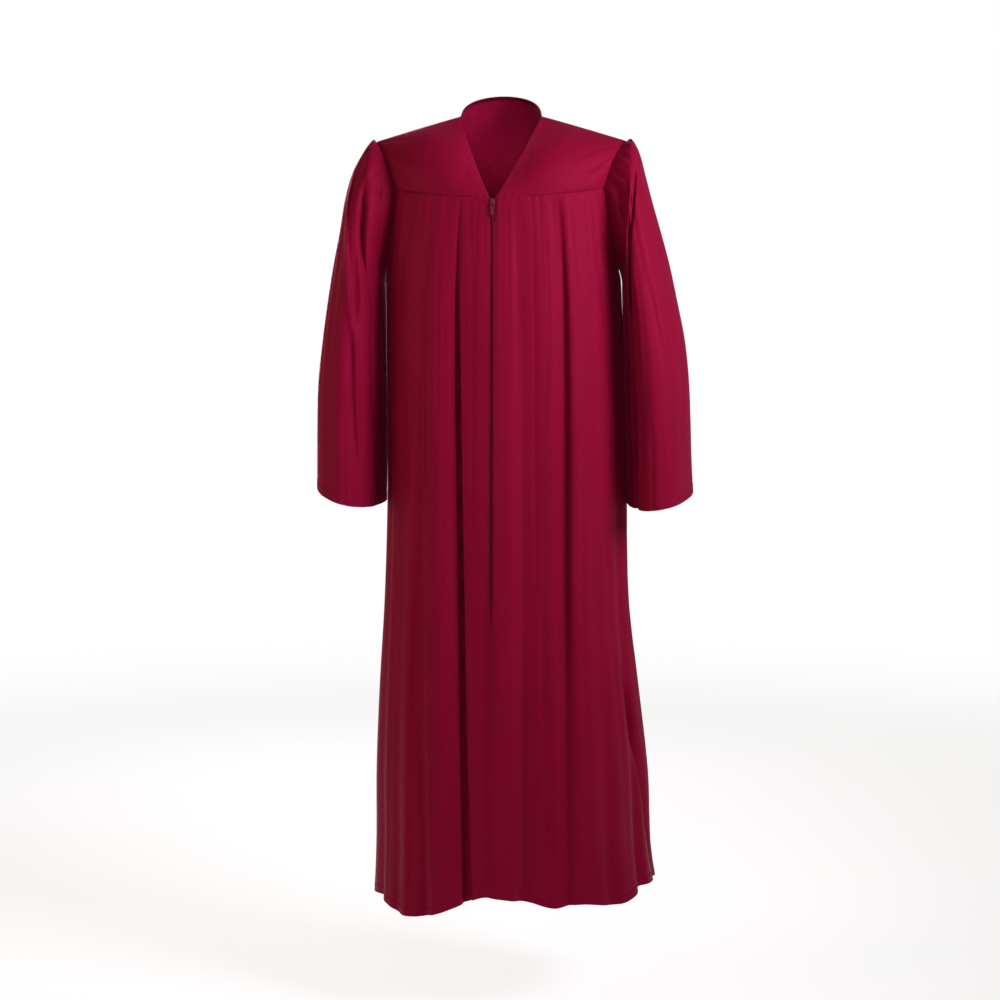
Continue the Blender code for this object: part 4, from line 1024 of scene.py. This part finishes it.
def sleeveGrid(name, side):
    turns = np.arange(sleeves["around"]) * 360.0 / sleeves["around"]
    first = armholePoints(side, turns)
    first[:, 0] += side * sleeves["standOff"]
    rings = np.array([first] + [sleeveRing(row, turns) for row in sleeves[name]])
    near = np.linspace(0.0, 1.0, sleeves["headPoints"]) ** sleeves["headCrowding"]
    ringsDown = np.concatenate([near, unevenSteps(sleeves["ends"], sleeves["points"])[1:]])
    grid = smoothBetween(ringsDown, np.arange(float(len(rings))), rings)
    turnGrid, downGrid = np.meshgrid(turns, ringsDown)
    share = np.clip(downGrid - 1.0, 0.0, None) / 11.0
    inward = np.zeros_like(share)
    for row in sleeveFolds[name]:
        fold = dict(zip(sleeveFolds["columns"], row))
        place = fold["topDeg"] + (fold["cuffDeg"] - fold["topDeg"]) * share
        away = (turnGrid - place + 180.0) % 360.0 - 180.0
        depth = throughThree(fold["topDepth"], fold["midDepth"], fold["cuffDepth"], share)
        inward += depth * np.exp(-(away / fold["reachDeg"]) ** 2)
    inward *= smoothStep(downGrid)
    inward += creaseDepth(sleeveCreases[name], turnGrid, downGrid, sleeveCreases["scale"])
    inward -= gatherHeight(turnGrid, downGrid, side)
    radial = grid - grid.mean(axis=1, keepdims=True)
    radial /= np.linalg.norm(radial, axis=-1, keepdims=True)
    grid = grid - radial * inward[..., None]
    dip = np.clip(np.sin(np.radians(turnGrid)), 0.0, 1.0) * share ** 3
    grid[..., 2] -= sleeves["cuffDip"] * dip
    fromHead = lengthsDown(grid)
    fromCuff, around = fromHead[-1] - fromHead, lengthsAcross(grid)
    grid = grid - outwardOf(grid, True) * hemmed(around, fromCuff, rowPhase["cuff"])[..., None]
    # the seam allowance of the head lies inside the armhole
    allowance = grid[0] + (grid[0].mean(axis=0) - grid[0]) * sleeves["allowance"]
    allowance[:, 0] = grid[0, :, 0] - side * sewing["tuckDepth"]
    return np.concatenate([allowance[None], grid])


sleeveGrids = {}
for name, side in (("right", right), ("left", left)):
    sleeveGrids[name] = sleeveGrid(name, side)
    piece = clothPiece("cloth_sleeve_" + name, sleeveGrids[name], gownMaterial, closed=True)
    finishCloth(piece, "sleeve_" + name)
print("sleeves made")

# Zip: tapes, teeth and hard parts

zipCut = {"tapeDepth": 0.0021, "tapeEdge": 0.0010, "tapeWidth": 0.0095, "tapeWall": 0.0008,
          "tapeDrop": 0.0048, "tapeEndZ": -0.800, "teethTopZ": -0.146, "teethEndZ": -0.7725}


def besideZip(side, away, z):
    # a place on the front, at a distance from the zip's middle
    deg = side * np.degrees(np.arctan2(away, -bodyValue("frontY", z)))
    return bodyPoint(deg, z, runInBelow(yoke["seamCentreZ"], z))


def tapeGrid(side):
    z = np.linspace(yoke["seamCentreZ"] - zipCut["tapeDrop"], zipCut["tapeEndZ"], 240)
    across, height = np.meshgrid(np.linspace(0.0, 1.0, 7), z)
    grid = besideZip(side, zipCut["tapeEdge"] + zipCut["tapeWidth"] * across, height)
    return grid - outwardOf(grid) * zipCut["tapeDepth"]


for name, side in (("right", right), ("left", left)):
    piece = clothPiece("tape_zip_" + name, tapeGrid(side), tapeMaterial, zipCut["tapeWall"])
    finishCloth(piece, "zip_tape_" + name)


def lineObject(name, lines):
    # one mesh of plain edges: the paths that stitches or teeth follow
    points, edges = [], []
    for line in lines:
        start = len(points)
        points.extend(line.tolist())
        edges.extend((start + step, start + step + 1) for step in range(len(line) - 1))
    mesh = bpy.data.meshes.new(name)
    mesh.from_pydata(points, edges, [])
    return addObject(name, mesh)


def repeatTree(name, sizes, build):
    # a Geometry Nodes tree that sets one small shape at even steps along every path
    tree = bpy.data.node_groups.new(name, "GeometryNodeTree")
    tree.interface.new_socket("Geometry", in_out="INPUT", socket_type="NodeSocketGeometry")
    for label, value in sizes.items():
        socket = tree.interface.new_socket(label, in_out="INPUT", socket_type="NodeSocketFloat")
        socket.default_value = value
    tree.interface.new_socket("Material", in_out="INPUT", socket_type="NodeSocketMaterial")
    tree.interface.new_socket("Geometry", in_out="OUTPUT", socket_type="NodeSocketGeometry")
    given = addNode(tree, "NodeGroupInput")
    result = addNode(tree, "NodeGroupOutput")
    curve = addNode(tree, "GeometryNodeMeshToCurve")
    steps = addNode(tree, "GeometryNodeResampleCurve", mode="LENGTH")
    tangent = addNode(tree, "GeometryNodeInputTangent")
    turn = addNode(tree, "FunctionNodeAlignRotationToVector", axis="Z")
    copies = addNode(tree, "GeometryNodeInstanceOnPoints")
    real = addNode(tree, "GeometryNodeRealizeInstances")
    paint = addNode(tree, "GeometryNodeSetMaterial")
    smooth = addNode(tree, "GeometryNodeSetShadeSmooth")
    link = tree.links.new
    link(given.outputs["Geometry"], curve.inputs["Mesh"])
    link(curve.outputs["Curve"], steps.inputs["Curve"])
    link(given.outputs["Spacing"], steps.inputs["Length"])
    link(steps.outputs["Curve"], copies.inputs["Points"])
    link(tangent.outputs["Tangent"], turn.inputs["Vector"])
    link(turn.outputs["Rotation"], copies.inputs["Rotation"])
    link(build(tree, given), copies.inputs["Instance"])
    link(copies.outputs["Instances"], real.inputs["Geometry"])
    link(real.outputs["Geometry"], smooth.inputs["Geometry"])
    link(smooth.outputs["Geometry"], paint.inputs["Geometry"])
    link(given.outputs["Material"], paint.inputs["Material"])
    link(paint.outputs["Geometry"], result.inputs["Geometry"])
    return tree


def shortRod(tree, given, sides):
    rod = addNode(tree, "GeometryNodeMeshCylinder", fill_type="TRIANGLE_FAN")
    setInputs(rod, Vertices=sides, Side_Segments=1)
    tree.links.new(given.outputs["Thickness"], rod.inputs["Radius"])
    tree.links.new(given.outputs["Length"], rod.inputs["Depth"])
    return rod.outputs["Mesh"]


def stitchShape(tree, given):
    # a short straight thread, lying along the row
    return shortRod(tree, given, 6)


def toothShape(tree, given):
    # one turn of the nylon coil, lying across the zip
    across = addNode(tree, "GeometryNodeTransform")
    setInputs(across, Rotation=(0.0, math.pi / 2.0, 0.0))
    tree.links.new(shortRod(tree, given, 8), across.inputs["Geometry"])
    return across.outputs["Geometry"]


def repeatAlong(name, lines, tree, material):
    paths = lineObject(name + "_paths", lines)
    nodes = paths.modifiers.new("repeat", "NODES")
    nodes.node_group = tree
    sockets = {item.name: item.identifier for item in tree.interface.items_tree if item.in_out == "INPUT"}
    nodes[sockets["Material"]] = material
    piece = addObject(name, finishedMesh(paths, name))
    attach(piece, "gown")
    return piece


teeth = {"Spacing": 0.00135, "Thickness": 0.00048, "Length": 0.0024}
teethRow = {"aside": 0.00085, "out": 0.0006}


def teethLine(side, shift):
    z = np.linspace(zipCut["teethTopZ"] - shift, zipCut["teethEndZ"], 200)
    line = besideZip(side, zipCut["tapeEdge"], z)
    line[:, 0] = body["centreX"] + side * teethRow["aside"]
    line[:, 1] += zipCut["tapeDepth"] - teethRow["out"]
    return line


teethTree = repeatTree("zip teeth", teeth, toothShape)
teethPiece = repeatAlong("zip_teeth", [teethLine(right, 0.0), teethLine(left, teeth["Spacing"] / 2.0)],
                         teethTree, teethMaterial)

for node in ("zip_slider", "zip_pull_tab", "zip_bottom_stop"):
    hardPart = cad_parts[node]
    hardPart.data.materials.clear()
    hardPart.data.materials.append(metalMaterial)
print("zip made")

# Rows of stitching, laid just proud of the cloth: above the yoke seam, round the neck's edge,
# beside the zip, and along the hem and cuffs

stitches = {"Spacing": 0.0030, "Thickness": 0.00020, "Length": 0.0023}


def along(grid, distance, fromEnd=False):
    # points of a grid at a given length of cloth down from its first row, or up from its last
    lengths = lengthsDown(grid)
    target = lengths[-1] - distance if fromEnd else np.full(grid.shape[1], distance)
    lifted = grid + outwardOf(grid) * stitchRows["proud"]
    return np.array([[np.interp(target[column], lengths[:, column], lifted[:, column, axis])
                      for axis in range(3)] for column in range(grid.shape[1])])


def aside(grid, distance):
    return along(grid.transpose(1, 0, 2), distance)


backYokeEdge = yokeGrids["back"][0, :, 0]
roundNeck = slice(*np.searchsorted(backYokeEdge, (-yoke["neckX"], yoke["neckX"])))
rowsOfStitches = [
    along(panelGrids["back"], sewing["hemWidth"], True),
    along(yokeGrids["back"], stitchRows["yokeAbove"], True),
    along(yokeGrids["back"], stitchRows["neckFromEdge"])[roundNeck],
]
for name in ("right", "left"):
    rowsOfStitches.append(along(panelGrids[name], sewing["hemWidth"], True))
    rowsOfStitches.append(along(yokeGrids[name], stitchRows["yokeAbove"], True))
    rowsOfStitches.append(aside(yokeGrids[name], stitchRows["neckFromEdge"])[1:-2])
    zipRow = aside(panelGrids[name], zipSewing["away"])
    rowsOfStitches.append(zipRow[zipRow[:, 2] > stitchRows["zipEndZ"]])
    cuff = along(sleeveGrids[name], sewing["hemWidth"], True)
    rowsOfStitches.append(np.concatenate([cuff, cuff[:1]]))
stitchTree = repeatTree("stitches", stitches, stitchShape)
stitching = repeatAlong("stitching", rowsOfStitches, stitchTree, threadMaterial)
print("stitching made")

# Floor, lights and camera

studio = {
    "floorZ": -1.45,
    "floorRadius": 9.0,
    "floorFade": (1.2, 4.0),
    "floorGlow": 0.74,
    "backdrop": 1.0,
    "ambient": 0.11,
    "ambientColour": (1.0, 0.88, 0.62),
}

bpy.ops.mesh.primitive_circle_add(vertices=96, radius=studio["floorRadius"], fill_type="NGON",
                                  location=(0.0, 0.0, studio["floorZ"]))
floor = bpy.context.object
floor.name = "studio_floor"
floorMaterial, floorTree, floorShader = startMaterial("pale floor")
setInputs(floorShader, Base_Color=(0.40, 0.40, 0.40, 1.0), Roughness=0.9, Specular_IOR_Level=0.0,
          Emission_Color=(1.0, 1.0, 1.0, 1.0), Emission_Strength=studio["floorGlow"])
floorPlace = addNode(floorTree, "ShaderNodeTexCoord")
floorAway = addNode(floorTree, "ShaderNodeVectorMath", operation="LENGTH")
floorFade = addNode(floorTree, "ShaderNodeMapRange", interpolation_type="SMOOTHSTEP")
setInputs(floorFade, From_Min=studio["floorFade"][0], From_Max=studio["floorFade"][1], To_Min=1.0, To_Max=0.0)
floorTree.links.new(floorPlace.outputs["Object"], floorAway.inputs[0])
floorTree.links.new(floorAway.outputs["Value"], floorFade.inputs["Value"])
floorTree.links.new(floorFade.outputs["Result"], floorShader.inputs["Alpha"])
floor.data.materials.append(floorMaterial)

world = bpy.data.worlds.new("white studio")
world.use_nodes = True
bpy.context.scene.world = world
worldTree = world.node_tree
ambient = worldTree.nodes["Background"]
setInputs(ambient, Color=(*studio["ambientColour"], 1.0), Strength=studio["ambient"])
backdrop = addNode(worldTree, "ShaderNodeBackground")
setInputs(backdrop, Color=(1.0, 1.0, 1.0, 1.0), Strength=studio["backdrop"])
seen = addNode(worldTree, "ShaderNodeLightPath")
choose = addNode(worldTree, "ShaderNodeMixShader")
worldTree.links.new(seen.outputs["Is Camera Ray"], choose.inputs["Fac"])
worldTree.links.new(ambient.outputs[0], choose.inputs[1])
worldTree.links.new(backdrop.outputs[0], choose.inputs[2])
worldTree.links.new(choose.outputs[0], worldTree.nodes["World Output"].inputs["Surface"])

lights = {
    "columns": ("name", "place", "aim", "size", "spread", "power", "colour"),
    "rows": (
        ("key", (1.50, -0.98, 0.42), (0.1, 0.0, -0.1), 0.9, 90.0, 16.0, (1.0, 0.94, 1.1)),
        ("front", (0.3, -3.4, 0.5), (0.0, 0.0, -0.1), 1.0, 70.0, 4.5, (1.0, 0.94, 0.95)),
        ("fill", (-2.3, -1.0, -0.1), (0.0, 0.0, -0.4), 1.4, 100.0, 10.0, (1.0, 0.76, 0.64)),
        ("neck", (0.1, -3.0, 0.35), (-0.005, 0.0, -0.015), 0.1, 4.0, 0.05, (1.0, 0.92, 0.9)),
        ("back", (-0.7, 2.9, 0.1), (0.0, 0.0, -0.5), 1.4, 120.0, 24.0, (1.0, 0.95, 0.97)),
    ),
}
for row in lights["rows"]:
    lamp = dict(zip(lights["columns"], row))
    data = bpy.data.lights.new(lamp["name"], "AREA")
    data.energy, data.size, data.color = lamp["power"], lamp["size"], lamp["colour"]
    data.spread = math.radians(lamp["spread"])
    light = addObject(lamp["name"], data)
    light.location = lamp["place"]
    light.rotation_euler = (Vector(lamp["aim"]) - Vector(lamp["place"])).to_track_quat("-Z", "Y").to_euler()
    light.visible_camera = False

view = {"target": (-0.0016, 0.0, -0.622), "distance": 4.0, "azimuth": 4.0, "down": 5.5, "field": 1.645,
        "sensor": 36.0}
camera = addObject("camera", bpy.data.cameras.new("camera"))
camera.data.sensor_width = view["sensor"]
camera.data.lens = camera.data.sensor_width * view["distance"] / view["field"]
turn, down = math.radians(view["azimuth"]), math.radians(view["down"])
back = Vector((math.sin(turn) * math.cos(down), -math.cos(turn) * math.cos(down), math.sin(down)))
camera.location = Vector(view["target"]) + back * view["distance"]
camera.rotation_euler = (-back).to_track_quat("-Z", "Y").to_euler()
bpy.context.scene.camera = camera
bpy.context.scene.view_settings.view_transform = "Standard"
print("studio made")

bpy.context.view_layer.update()
